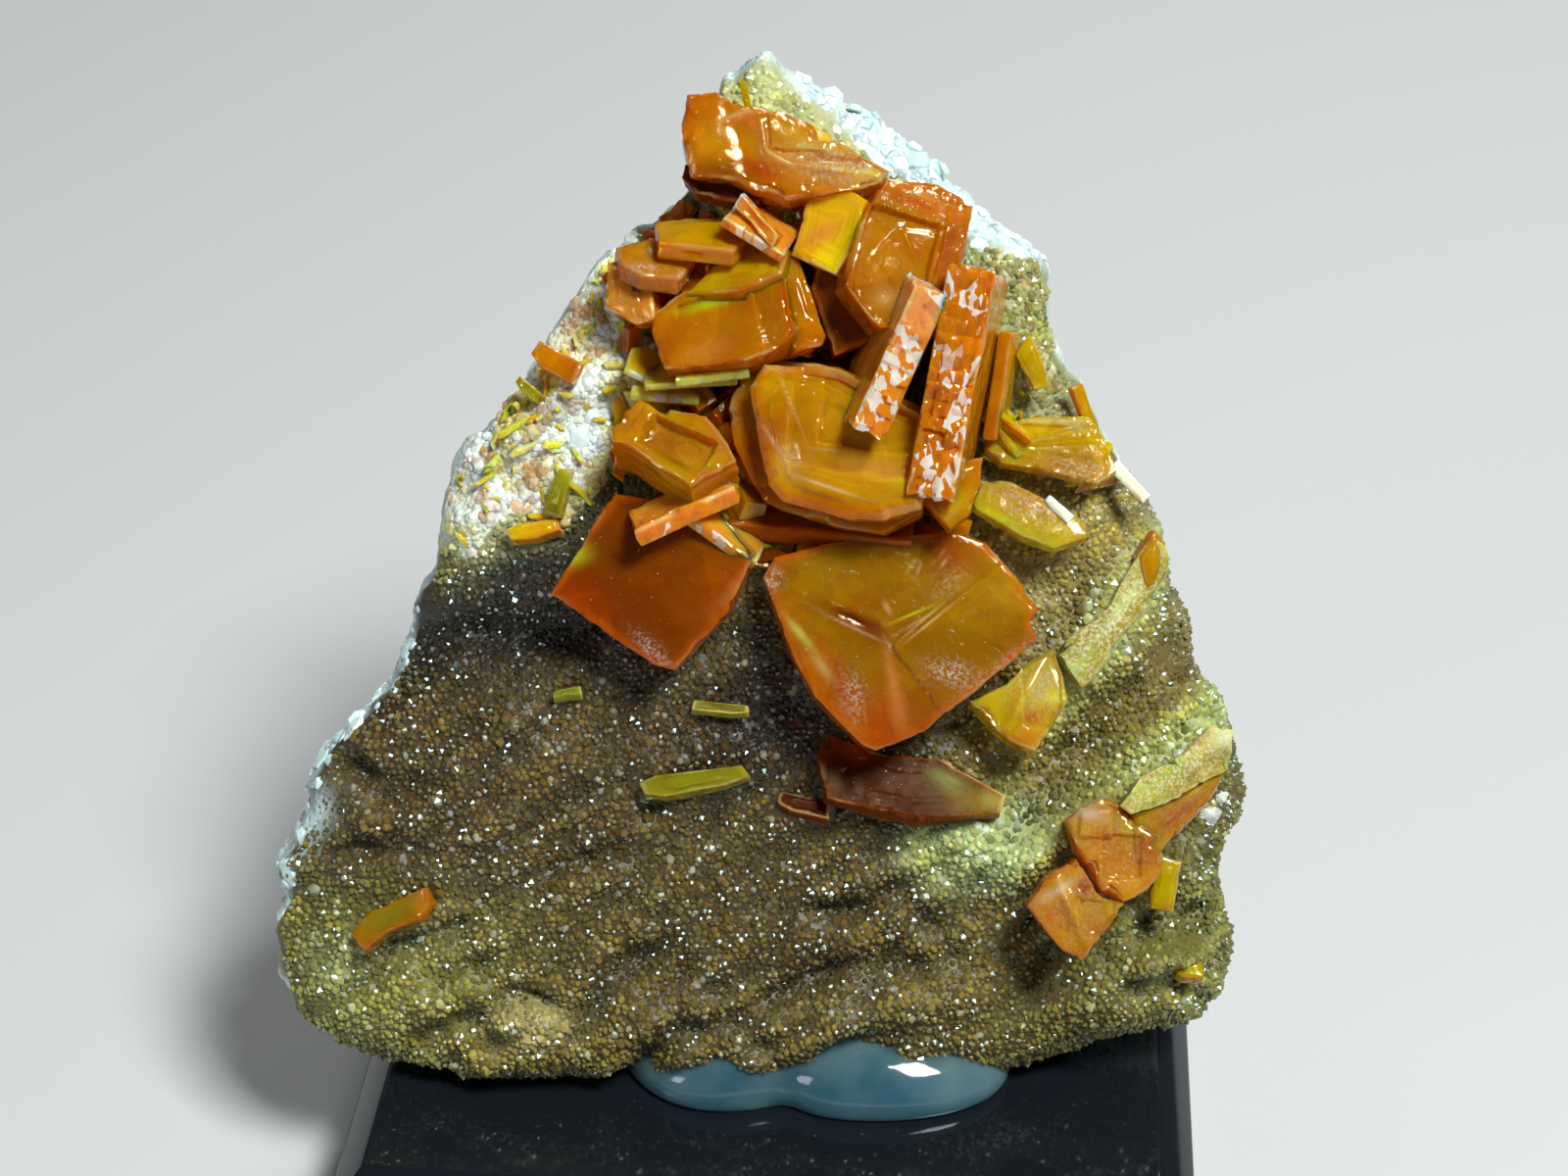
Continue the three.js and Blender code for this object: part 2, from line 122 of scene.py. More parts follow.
# %% Skins and pieces
def skin_faces(rings, around):
    """Corner numbers of a closed skin: a fan at each pole, and quads between neighbouring rings."""
    step = np.arange(around)
    after = (step + 1) % around
    last = rings * around + 1
    end = (rings - 1) * around + 1
    low = 1 + np.arange(rings - 1)[:, None] * around
    quads = np.stack([low + step, low + around + step, low + around + after, low + after], -1)
    first_fan = np.stack([np.zeros(around, int), 1 + step, 1 + after], -1)
    last_fan = np.stack([np.full(around, last), end + after, end + step], -1)
    return [first_fan, quads.reshape(-1, 4), last_fan]


def closed(points, first, last):
    """The points of a skin in one list: the first pole, ring after ring, and the last pole."""
    return np.concatenate([[first], np.asarray(points).reshape(-1, 3), [last]])


def make_piece(name, points, faces, finishes, colours=None, finish_of_face=None, smooth=True):
    """A mesh object from points in mm and groups of triangles and quads. It rides on the root."""
    mesh = bpy.data.meshes.new(name)
    sizes = np.concatenate([np.full(len(f), f.shape[1]) for f in faces])
    corners = np.concatenate([f.ravel() for f in faces])
    mesh.vertices.add(len(points))
    mesh.vertices.foreach_set("co", (np.asarray(points) * MM).ravel())
    mesh.loops.add(len(corners))
    mesh.loops.foreach_set("vertex_index", corners)
    mesh.polygons.add(len(sizes))
    mesh.polygons.foreach_set("loop_start", np.cumsum(sizes) - sizes)
    if finish_of_face is not None:
        mesh.polygons.foreach_set("material_index", finish_of_face)
    mesh.update(calc_edges=True)
    mesh.polygons.foreach_set("use_smooth", np.full(len(sizes), smooth))
    for title, values in (colours or {}).items():
        kind = "FLOAT_COLOR" if values.ndim == 2 else "FLOAT"
        if values.ndim == 2:
            values = np.concatenate([values, np.ones((len(values), 1))], 1)
        attribute = mesh.attributes.new(title, kind, "POINT")
        attribute.data.foreach_set("color" if kind == "FLOAT_COLOR" else "value", values.ravel())
    mesh.validate()
    for finish in finishes:
        mesh.materials.append(finish)
    piece = bpy.data.objects.new(name, mesh)
    bpy.context.scene.collection.objects.link(piece)
    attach(piece, "root")
    triangles = int((sizes - 2).sum())
    print(f"{name}: {len(points)} points, {triangles} triangles")
    return piece


# %% [markdown]
# ## Colours
# A colour is written as it looks on a screen and turned into the linear light that shaders add up.
# Over the slab, colour changes from zone to zone: each zone is a soft hill of weight, and a point
# takes the mean of the zones' colours by weight.

# %% Paint
def paint(red, green, blue):
    """Screen values from 0 to 255 to linear light, by the usual power of 2.4 with a straight foot."""
    value = np.array([red, green, blue]) / 255
    return np.where(value <= 0.04045, value / 12.92, ((value + 0.055) / 1.055) ** 2.4)


def zoned(u, v, zones, ground, ground_weight=0.12):
    """Mean of the zone colours, weighted by each zone's bell, over a ground colour that fills in."""
    total = np.full(u.shape, ground_weight)
    colour = paint(*ground) * ground_weight * np.ones(u.shape + (3,))
    for zone_u, zone_v, length, width, degrees, strength, screen in zones:
        weight = strength * bell(u - zone_u, v - zone_v, length, width, degrees)
        total = total + weight
        colour = colour + paint(*screen) * weight[..., None]
    return colour / total[..., None]


DRUSE_GROUND = (118, 106, 56)
DRUSE_ZONES = [  # u, v, half length, half width, degrees, strength, colour
    (-11.0, 14.0, 8.0, 5.5, 25, 1.0, (112, 96, 50)),
    # The next four zones lie beside and below the big tablets: darker rock with painted shadow over it.
    (-11.5, 21.2, 4.6, 1.9, 6, 3.6, (46, 36, 26)),
    (0.2, 17.2, 3.4, 1.9, 40, 2.4, (58, 42, 22)),
    (4.2, 15.0, 2.4, 1.2, -20, 1.6, (66, 46, 22)),
    (-6.5, 19.2, 2.2, 1.2, -30, 1.2, (76, 60, 34)),
    (-16.5, 4.0, 6.0, 3.6, 20, 1.3, (166, 168, 90)),
    (-10.0, 1.6, 5.0, 1.6, 5, 1.0, (154, 146, 80)),
    (-3.0, 7.5, 8.0, 4.5, 20, 1.0, (116, 102, 48)),
    (3.0, 1.6, 9.0, 2.4, 5, 1.0, (128, 118, 62)),
    (13.0, 4.0, 5.0, 3.0, 0, 1.0, (142, 132, 66)),
    (19.0, 6.0, 3.0, 5.0, 0, 1.0, (158, 158, 84)),
    (17.0, 10.0, 3.0, 3.0, 0, 0.8, (140, 132, 70)),
    (13.8, 15.5, 3.2, 2.6, 35, 1.6, (160, 146, 70)),
    (17.0, 19.0, 2.6, 1.6, 45, 1.6, (158, 142, 74)),
    (14.0, 23.5, 4.0, 3.0, 60, 1.1, (184, 170, 104)),
    (15.8, 21.2, 4.6, 0.8, 55, 3.4, (196, 214, 150)),
    (18.4, 15.6, 3.6, 0.8, 34, 3.4, (196, 208, 130)),
    (9.9, 11.7, 1.9, 1.3, 15, 5.0, (198, 222, 164)),
    (12.0, 34.5, 3.2, 2.4, 70, 2.0, (182, 192, 138)),
    (1.2, 43.2, 2.6, 2.6, 0, 2.5, (214, 222, 172)),
    (-10.4, 29.2, 4.6, 2.2, 52, 4.0, (222, 234, 204)),
    (-7.6, 31.4, 4.2, 1.2, 52, 3.0, (198, 184, 104)),
    (-13.4, 24.6, 1.6, 1.2, 60, 3.0, (204, 196, 118)),
    (-9.9, 2.9, 1.1, 0.9, 0, 4.0, (208, 206, 150)),
    (-18.6, 5.6, 1.3, 1.0, 30, 2.0, (178, 184, 136)),
]
print("zones on the druse:", len(DRUSE_ZONES))

# %% [markdown]
# ## Shader maths in plain expressions
# A material is a graph of nodes, which is hard to read as a list of links. Here a socket is wrapped in
# a small class, so 1 - mask or mask * 0.5 writes its Math node by itself.

# %% Wires and finishes
class Wire:
    """One output socket of a material. Adding to it, multiplying it and taking it from a number each
    put one Math node behind it."""

    def __init__(self, finish, socket):
        self.finish, self.socket = finish, socket

    def _math(self, operation, first, second):
        return self.finish.node("ShaderNodeMath", {"operation": operation}, {0: first, 1: second})

    def __add__(self, other):
        return self._math("ADD", self, other)

    __radd__ = __add__

    def __mul__(self, other):
        return self._math("MULTIPLY", self, other)

    __rmul__ = __mul__

    def __rsub__(self, other):
        return self._math("SUBTRACT", other, self)

    def between(self, low, high):
        """0 below low, 1 above high, and a straight slope between them."""
        return self.finish.node("ShaderNodeMapRange", {"clamp": True}, {0: self, 1: low, 2: high})

    def other(self, name):
        """Another output of the same node."""
        return Wire(self.finish, self.socket.node.outputs[name])


class Finish:
    """A material under construction."""

    def __init__(self, name):
        self.material = bpy.data.materials.new(name)
        self.material.use_nodes = True
        self.tree = self.material.node_tree
        self.tree.nodes.clear()

    def node(self, kind, settings=None, sockets=None):
        """Adds a node: its settings first, then each socket's value or wire. Gives back its first
        output."""
        node = self.tree.nodes.new(kind)
        for name, value in (settings or {}).items():
            setattr(node, name, value)
        for name, value in (sockets or {}).items():
            if isinstance(value, Wire):
                self.tree.links.new(value.socket, node.inputs[name])
            elif hasattr(value, "__len__") and len(value) == 3 and node.inputs[name].type == "RGBA":
                node.inputs[name].default_value = (*value, 1.0)
            else:
                node.inputs[name].default_value = value
        return Wire(self, node.outputs[0]) if len(node.outputs) else None

    def here(self):
        """The place on the piece, in metres."""
        return self.node("ShaderNodeTexCoord").other("Object")

    def noise(self, size, detail=3.0, roughness=0.55, stretch=None):
        """Noise from 0 to 1 whose clouds are about size mm across."""
        place = self.here()
        if stretch:
            place = self.node("ShaderNodeMapping", None, {"Vector": place, "Scale": stretch})
        return self.node(
            "ShaderNodeTexNoise", None,
            {"Vector": place, "Scale": 1 / (size * MM), "Detail": detail, "Roughness": roughness},
        )

    def grains(self, size):
        """Distance to the nearest of many scattered points about size mm apart."""
        return self.node("ShaderNodeTexVoronoi", None, {"Vector": self.here(), "Scale": 1 / (size * MM)})

    def mosaic(self, size, slope, stretch):
        """Flat cells, longer up the crystals, that each tip their own way. Gives their height in mm,
        each cell's random tilt times the way from its middle, and a random share for each cell."""
        place = self.node("ShaderNodeMapping", None, {"Vector": self.here(), "Scale": stretch})
        cell = self.node("ShaderNodeTexVoronoi", None, {"Vector": place, "Scale": 1 / (size * MM)})
        away = self.vector("SUBTRACT", place, cell.other("Position"))
        tilt = self.vector("SUBTRACT", cell.other("Color"), (0.5, 0.5, 0.5))
        height = self.vector("DOT_PRODUCT", away, tilt).other("Value") * (2 * slope / MM)
        return height, self.node("ShaderNodeSeparateXYZ", None, {"Vector": cell.other("Color")})

    def vector(self, operation, first, second):
        """Vector Math on two wires or values."""
        return self.node("ShaderNodeVectorMath", {"operation": operation}, {0: first, 1: second})

    def carried(self, title):
        """A colour that the mesh carries at its points."""
        return self.node("ShaderNodeAttribute", {"attribute_name": title})

    def mix(self, share, first, second, blend="MIX"):
        """The first colour where share is 0 and the second where it is 1."""
        return self.node(
            "ShaderNodeMix", {"data_type": "RGBA", "blend_type": blend}, {0: share, 6: first, 7: second}
        ).other(2)

    def times(self, colour, factor):
        """A colour times a factor, for red, green and blue each."""
        return self.mix(1.0, colour, factor, "MULTIPLY")

    def toned(self, share, colour, factor, source=None):
        """The colour where share is 0, and where it is 1 the source, or the colour itself, times a
        factor."""
        return self.mix(share, colour, self.times(source or colour, factor))

    def bump(self, height, depth, strength=1.0):
        """A normal tipped by a height field, depth in mm."""
        return self.node(
            "ShaderNodeBump", None, {"Height": height, "Distance": depth * MM, "Strength": strength}
        )

    def done(self, **sockets):
        """Ends in one Principled shader. Each keyword is a socket's name with _ for a space."""
        named = {name.replace("_", " "): value for name, value in sockets.items()}
        shader = self.node("ShaderNodeBsdfPrincipled", None, named)
        self.node("ShaderNodeOutputMaterial", None, {"Surface": shader})
        return self.material


print("helpers ready")

# %% [markdown]
# ## Three kinds of quartz
# Druse grains are glassy quartz over an iron-stained skin. The rock between them is painted darker,
# as shade in the gaps between grains, and where the slab is broken, milky quartz shows. A picture
# could be wrapped round each piece, but noise in space needs no unwrapping and has no seams, so each
# finish is a coloured body under a clear gloss, broken up by clouds. Colours here are shares of
# linear light, and sizes are in millimetres.

# %% Quartz
QUARTZ_IOR = 1.54


def druse_finish():
    """Grain gloss over the carried tint, which drifts darker and more golden in slow clouds."""
    f = Finish("drusy_quartz")
    tint = f.carried("tint")
    dark = f.times(tint, (0.66, 0.58, 0.46))
    gold = f.times(tint, (1.25, 1.12, 0.55))
    tint = f.mix(f.noise(1.5).between(0.34, 0.60), dark, tint)
    tint = f.mix(f.noise(2.3, 3.0, 0.6, (1.0, 1.0, 1.4)).between(0.50, 0.68) * 0.8, tint, gold)
    return f.done(Base_Color=tint, Roughness=0.26, IOR=1.75, Specular_Tint=(0.66, 0.92, 1.0, 1.0))


def rock_finish():
    """Sugary rock: the carried tint darkened, as painted shade in the gaps between grains, and milky
    quartz where bare is 1.
    """
    f = Finish("druse_and_milky_quartz")
    bare = f.carried("bare").other("Fac")
    pits = f.grains(0.34).between(0.05, 0.55)
    # Painted shade: the rock seen between the grains is darkened, more where its tint is dark.
    shade = f.mix(f.carried("tint").between(0.16, 0.50), (0.30, 0.26, 0.22), (0.58, 0.54, 0.44))
    crust = f.times(f.carried("tint"), shade)
    veins = f.noise(2.2, 5.0, 0.6).between(0.42, 0.62)
    stain = f.noise(5.0, 4.0, 0.6).between(0.55, 0.72)
    milky = f.mix(veins, (0.46, 0.60, 0.60), (0.74, 0.88, 0.86))
    milky = f.mix(stain * 0.8, milky, (0.58, 0.44, 0.20))
    colour = f.mix(bare, crust, milky)
    height = pits * 0.6 + f.noise(0.5, 6.0, 0.65) * 0.9
    return f.done(
        Base_Color=colour,
        Roughness=0.42 - bare * 0.12,
        IOR=QUARTZ_IOR,
        Normal=f.bump(height, 0.12, 0.8),
    )


def milky_finish():
    """Broken milky quartz: the carried tint, deep and soft, under a clear gloss."""
    f = Finish("milky_quartz")
    tint = f.mix(f.noise(0.6, 4.0).between(0.55, 0.75) * 0.5, f.carried("tint"), (0.88, 0.92, 0.88))
    return f.done(
        Base_Color=tint,
        Roughness=0.22,
        IOR=QUARTZ_IOR,
        Subsurface_Weight=0.6,
        Subsurface_Radius=(1.0, 1.0, 0.9),
        Subsurface_Scale=0.25 * MM,
        Coat_Weight=0.2,
        Coat_Roughness=0.1,
    )


DRUSE = druse_finish()
MILKY = milky_finish()
ROCK = rock_finish()
print("quartz finishes:", [m.name for m in bpy.data.materials])

# %% [markdown]
# ## Wulfenite
# Wulfenite is clear but clouded: light goes in, scatters and comes out deep orange. Clear glass with
# cracks modelled inside would be slow to render and hard to colour. So the finish is part see-through
# glass and part scattering body, and what lies inside is drawn on it as clouds, cells and specks. The
# cells are painted shade and painted reflections of cleavages inside, and the specks and white cells
# are painted sparkle and glints.

# %% Wulfenite
def wulfenite_finish(name, see_through, cloud, gloss, ior=1.5):
    """Part glass, part scattering body in the carried tint. Over the tint go redder and yellower
    clouds, cleavage faces inside painted darker as shade and lighter as reflected light, small cells
    painted as bright flashes, pale wisps, and a scatter of tiny specks and dots painted as sparkle.
    Dust lies in fine grains where it is carried. Where glitter is carried, the gloss is broken into
    tipped cells, and groups of them are painted white as glints."""
    f = Finish(name)
    tint, glitter = f.carried("tint"), f.carried("glitter").other("Fac")
    slow = f.noise(2.6, 4.0, 0.6)
    colour = f.toned(slow.between(0.48, 0.72) * 0.7, tint, (0.84, 0.56, 0.40))
    colour = f.toned((1.0 - slow.between(0.28, 0.46)) * 0.4, colour, (1.15, 1.35, 1.0), tint)
    _, inner = f.mosaic(1.5, 0.0, (1.0, 1.0, 0.6))
    _, finer = f.mosaic(0.7, 0.0, (0.7, 1.0, 1.0))
    # Cleavage cells inside, painted darker as shade, lighter as reflected light, and as small bright
    # flashes.
    colour = f.toned(inner.between(0.58, 0.62) * 0.16, colour, (0.62, 0.48, 0.5))
    colour = f.toned((1.0 - inner.between(0.38, 0.42)) * 0.20, colour, (1.25, 1.35, 1.3))
    colour = f.toned(finer.between(0.70, 0.72) * 0.25, colour, (1.35, 1.5, 1.6))
    wisps = f.noise(0.8, 6.0, 0.72, (1.0, 1.0, 2.6)).between(0.62, 0.80) * cloud
    colour = f.mix(wisps, colour, (0.84, 0.58, 0.30))
    # Tiny specks and dots painted pale: painted sparkle where the faces would catch the light.
    specks = (1.0 - f.grains(0.60).between(0.035, 0.075)) * f.noise(2.0, 2.0).between(0.40, 0.55)
    sparkle_dots = (1.0 - f.grains(0.30).between(0.05, 0.11)) * f.noise(1.3).between(0.46, 0.62)
    colour = f.mix(specks * 0.8, colour, (0.94, 0.84, 0.60))
    colour = f.mix(sparkle_dots * 0.45, colour, (0.94, 0.74, 0.36))
    dusty = f.carried("dust").other("Fac") * f.noise(0.15, 4.0, 0.7).between(0.46, 0.60)
    colour = f.mix(dusty, colour, (0.88, 0.80, 0.66))
    height, cell = f.mosaic(0.26, 0.5, (1.0, 1.0, 0.45))
    _, group = f.mosaic(1.3, 0.2, (1.0, 1.0, 0.8))
    # Groups of tipped cells painted near-white: painted glints on the crystals' faces.
    painted_glints = cell.between(0.50, 0.53) * group.between(0.58, 0.62) * glitter.between(0.50, 0.95)
    colour = f.mix(painted_glints * 0.85, colour, (0.98, 0.90, 0.84))
    height = height * glitter + f.noise(0.5, 5.0, 0.6) * 0.02
    return f.done(
        Base_Color=colour,
        Roughness=gloss + 0.10 * f.noise(1.2).between(0.45, 0.8),
        IOR=ior,
        Specular_Tint=(1.0, 0.80, 0.50, 1.0),
        Transmission_Weight=see_through,
        Subsurface_Weight=1.0,
        Subsurface_Radius=(1.0, 0.45, 0.10),
        Subsurface_Scale=1.0 * MM,
        Normal=f.bump(height, 1.0),
    )


CLOUDED = wulfenite_finish("wulfenite_clouded", 0.28, 0.4, 0.07)
CLEAR = wulfenite_finish("wulfenite_clear", 0.55, 0.15, 0.07)
CRUSTED = wulfenite_finish("wulfenite_crusted", 0.05, 0.7, 0.4, 1.18)
print("all finishes:", [m.name for m in bpy.data.materials])

# %% [markdown]
# ## The slab of rock
# The outline runs through listed points on a smooth closed curve. The face is a set of rings that
# shrink to a hub, lifted by a dome, by lumps and by slanting folds. The broken side and back close
# it. The formulas are those of the solid, on a grid fine enough for small relief, so the slab keeps
# the solid's size and stance.

# %% Outline and relief
HUB = np.array([1.0, 17.0])
FLOOR_GAP = 0.4
OUTLINE = np.array([
    [0.5, 45.6], [-1.2, 44.4], [-1.8, 41.8], [-2.9, 39.6], [-5.4, 37.8], [-7.1, 36.1], [-9.1, 33.1],
    [-10.2, 31.5], [-12.3, 28.9], [-13.4, 27.2], [-14.0, 24.1], [-15.3, 20.6], [-17.1, 17.1],
    [-19.5, 14.4], [-20.0, 12.3], [-21.6, 9.5], [-21.0, 8.4], [-21.7, 6.4], [-21.1, 3.9],
    [-20.1, 2.3], [-17.4, 0.9], [-14.6, 0.2], [-11.0, -0.4], [-5.7, 0.2], [-2.2, 0.1],
    [1.4, -0.5], [5.8, -0.3], [10.7, 0.0], [15.1, 1.4], [19.0, 2.5], [20.8, 3.4], [21.5, 6.4],
    [20.9, 9.1], [21.7, 12.3], [21.5, 14.5], [20.8, 17.1], [19.6, 18.9], [18.6, 22.0],
    [17.9, 24.4], [16.4, 27.6], [14.4, 31.0], [13.5, 32.3], [13.1, 34.5], [12.7, 37.0],
    [9.8, 39.0], [7.3, 41.4], [5.6, 42.6], [3.0, 43.9], [1.5, 45.0],
])
LUMPS = [  # u, v, height, half length, half width, degrees
    [17.8, 14.0, 1.7, 4.2, 1.5, 34], [15.8, 20.6, 1.5, 4.6, 1.3, 55], [13.9, 15.2, -1.1, 3.2, 1.3, 40],
    [9.8, 11.4, 1.0, 2.0, 1.3, 15], [-9.9, 2.9, 0.8, 1.2, 1.0, 0], [4.5, 5.7, -1.1, 5.2, 0.55, 23],
    [6.4, 3.6, 0.6, 5.5, 1.1, 20], [3.1, 8.3, -0.9, 1.3, 0.6, 0], [-14.9, 7.0, -0.8, 3.6, 0.45, 21],
    [-17.2, 14.2, -0.7, 1.5, 0.5, 0], [-9.0, 15.0, 0.9, 7.5, 4.0, 30], [-3.0, 2.5, 0.6, 8.0, 1.7, 10],
    [-8.1, 10.4, -0.45, 2.8, 0.5, 22], [-8.3, 12.9, -0.4, 3.0, 0.5, 29], [-16.3, 10.8, -0.35, 4.0, 0.4, 4],
    [-9.6, 4.1, -0.8, 1.1, 0.4, -19], [3.2, 1.7, -0.8, 2.4, 0.5, 21], [17.9, 7.9, -0.5, 2.2, 0.5, 50],
    [-11.5, 20.4, -0.9, 4.2, 0.8, 2], [-11.0, 17.9, 0.4, 4.0, 1.2, 12], [12.6, 8.6, -0.5, 1.6, 0.7, 60],
    [-16.0, 4.0, 0.6, 4.0, 1.6, 25], [16.5, 4.6, 1.2, 3.2, 2.0, 25], [12.9, 6.6, -1.3, 2.4, 1.1, 62],
    [19.6, 7.6, -0.9, 1.2, 1.0, 0], [12.5, 10.6, 0.7, 2.2, 1.2, 30], [0.6, 41.0, 0.9, 2.6, 3.0, 0],
    [4.4, 32.8, -2.0, 2.4, 2.2, 0], [-9.0, 29.0, 0.8, 3.4, 1.7, 52], [-12.4, 25.4, 0.6, 2.2, 1.4, 60],
    [3.0, 27.0, 0.6, 8.0, 5.0, 0], [10.8, 35.0, 0.8, 2.6, 1.7, 70], [14.2, 25.2, 0.6, 2.0, 2.4, 60],
]
FOLDS = [  # height, wavelength, degrees, bend
    [0.55, 3.6, 27, 1.6], [0.30, 1.9, 34, 1.8], [0.20, 2.6, -48, 1.4],
]
BARE_EDGES = [  # direction from the hub and half angle in degrees, and width
    [172, 12, 0.35], [196, 9, 0.4], [75, 13, 1.7],
]
RIM_ROUNDING, RIM_DROP = 0.14, 1.1


def closed_curve(points, count):
    """A smooth closed curve through the points: on each stretch a cubic whose slope at a point is
    half the step between its two neighbours."""
    place = np.arange(count) / count * len(points)
    start = np.floor(place).astype(int)
    t = (place - start)[:, None]
    a, b, c, d = (points[(start + k) % len(points)] for k in (-1, 0, 1, 2))
    return 0.5 * (
        2 * b + (c - a) * t + (2 * a - 5 * b + 4 * c - d) * t**2 + (3 * b - a - 3 * c + d) * t**3
    )


def ramp(distance, soft):
    """0 to 1 over the soft width, by 3t^2 - 2t^3."""
    t = np.clip(distance / soft + 0.5, 0, 1)
    return t * t * (3 - 2 * t)


def bare_width(u, v):
    """How far the druse stands back from the edge: bells over the direction from the hub."""
    direction = np.degrees(np.arctan2(v - HUB[1], u - HUB[0])) % 360
    bells = (width * np.exp(-(((direction - middle) / half) ** 2)) for middle, half, width in BARE_EDGES)
    return 0.2 + sum(bells)


def face_height(u, v, reach):
    """Dome, plus lumps, plus sine folds that bend and fade on their way, minus a square drop at the
    rim."""
    height = 0.5 + 1.5 * (1 - reach**2)
    for lump_u, lump_v, rise, length, width, degrees in LUMPS:
        height = height + rise * bell(u - lump_u, v - lump_v, length, width, degrees)
    for rise, wavelength, degrees, bend in FOLDS:
        across = v * np.cos(np.radians(degrees)) - u * np.sin(np.radians(degrees))
        bend = bend * (np.sin(0.6 * u + 0.3 * v) + rough(u, v, 7.0, 1, 91))
        height = height + rise * rough(u, v, 6.0, 1, 93) * np.sin(2 * np.pi * across / wavelength + bend)
    rounding = np.maximum(0, (reach - (1 - RIM_ROUNDING)) / RIM_ROUNDING)
    return height - RIM_DROP * rounding**2


def small_relief(u, v):
    """Bumps of 2.5 mm and finer, and on the lower half furrows drawn out along the folds."""
    along, across = 0.84 * u + 0.54 * v, 0.84 * v - 0.54 * u
    furrows = 0.30 * rough(along * 0.22, across, 1.1, 2, 13) * ramp(19 - v, 6)
    return 0.20 * rough(along * 0.7, across, 2.4, 3, 11) + 0.07 * rough(u, v, 0.8, 2, 23) + furrows


def back_depth(u, v):
    """A slope from 12 mm at the foot to 7 mm at the top, with flat scars and dents in it."""
    slope = 12 - 5 * np.clip(v / 44, 0, 1)
    scar = np.minimum(0.9, 1.05 * np.abs(np.sin(0.31 * u + 0.17 * v)))
    dent = 0.8 * np.sin(0.43 * u - 0.29 * v + 1) + 0.4 * np.sin(0.9 * v + 0.5 * u)
    return -(slope - scar + 0.6 * dent)


def above_base(points):
    """Points that would reach below the gap over the base slide up the slab until they clear it."""
    lean = np.radians(LEAN)
    lowest = BASE_HEIGHT + FLOOR_GAP - FOOT[2]
    points[..., 1] = np.maximum(points[..., 1], (lowest - points[..., 2] * np.sin(lean)) / np.cos(lean))
    return points


print("outline from", OUTLINE.min(0), "to", OUTLINE.max(0))

# %% [markdown]
# ## Where the rind lies
# At the upper left the druse gives way to a pale crumbly rind. Its place and its colours are set
# here, because the rock below it is painted in them too.

# %% The rind's place and colours
def inside(u, v, outline):
    """Whether points lie in an outline: a line to the right crosses it an odd number of times."""
    crossings = np.zeros(len(u), int)
    for (u0, v0), (u1, v1) in zip(outline, np.roll(outline, -1, 0)):
        if v0 != v1:
            crossings += ((v0 > v) != (v1 > v)) & (u < u0 + (v - v0) * (u1 - u0) / (v1 - v0))
    return crossings % 2 == 1


RIND = np.array([[-5.3, 38.4], [-3.9, 35.4], [-5.0, 31.2], [-6.0, 29.5], [-6.6, 26.9], [-8.2, 25.4],
                 [-10.5, 26.2], [-12.4, 23.9], [-14.6, 24.2], [-13.6, 28.2], [-10.9, 31.8], [-7.4, 36.6]])
RIND_ZONES = [  # u, v, half length, half width, degrees, strength, colour
    (-8.3, 33.4, 2.2, 1.0, 40, 1.4, (232, 200, 124)), (-5.6, 32.6, 1.2, 1.6, 0, 1.4, (236, 226, 160)),
    (-9.1, 30.2, 1.1, 0.8, 20, 2.4, (150, 96, 44)), (-7.6, 29.1, 1.6, 1.0, 10, 2.4, (214, 232, 232)),
    (-11.8, 27.1, 1.4, 0.7, 20, 2.4, (206, 224, 226)), (-10.7, 30.0, 1.2, 0.6, 50, 2.2, (210, 228, 228)),
    (-9.5, 28.0, 1.4, 0.35, 10, 2.4, (206, 176, 60)), (-9.4, 31.1, 1.5, 0.4, 30, 2.0, (212, 176, 60)),
    (-12.9, 26.6, 0.9, 0.35, 0, 3.0, (196, 168, 30)), (-13.0, 25.2, 0.8, 0.3, 0, 3.0, (206, 182, 60)),
    (-10.1, 27.2, 1.2, 0.5, 20, 1.8, (156, 118, 62)), (-6.8, 36.0, 1.6, 0.5, 55, 1.8, (226, 236, 226)),
    (-6.3, 35.0, 1.6, 0.4, 55, 1.8, (206, 170, 70)), (-12.8, 24.5, 1.0, 0.7, 20, 1.6, (220, 218, 150)),
]
RIND_GROUND = (236, 246, 232)
STREAKS = [  # seed, size, least noise, colour
    (29, 1.0, 0.1, (236, 250, 250)), (19, 1.1, 0.35, (190, 130, 60)), (17, 1.6, 0.05, (206, 184, 50)),
]


def rind_tints(u, v, draw):
    """The rind's zones, with white, brown and yellow streaks where noise passes its least, each
    crumb a little its own."""
    tint = zoned(u, v, RIND_ZONES, RIND_GROUND, 0.6)
    along, across = 0.8 * u + 0.6 * v, 0.8 * v - 0.6 * u
    for seed, size, least, colour in STREAKS:
        streak = 0.75 * np.clip(2.4 * (rough(along, across * 2.0, size, 3, seed) - least), 0, 1)[:, None]
        tint = tint * (1 - streak) + paint(*colour) * streak
    return np.clip(tint * draw.uniform(0.8, 1.15, (len(u), 1)), 0, 1)


print("rind zones:", len(RIND_ZONES))

# %% [markdown]
# ## The slab's skin
# One closed skin of rings: out over the face, down the broken edge and in over the back. The druse
# goes on over the edge along the foot and low on the right. Elsewhere the edge and the back are bare
# milky quartz, broken in flat scars.

# %% The slab's skin
AROUND, FACE_RINGS, WALL_RINGS, BACK_RINGS = 460, 150, 16, 44
EDGE_THICK, BACK_INSET, BACK_STEP = 7, 1.4, 1.5


def drusy_edge(u, v):
    """Where the druse goes on over the slab's edge: along the foot, and low on the right."""
    return (v < 3) | ((u > 12) & (v < 27))


def milky_edge(u, v):
    """Where the edge is knobby milky quartz: at the upper right, and at the left."""
    return ((v > 36) & (u > 2)) | ((u < -13.5) & (v > 7) & (v < 22))


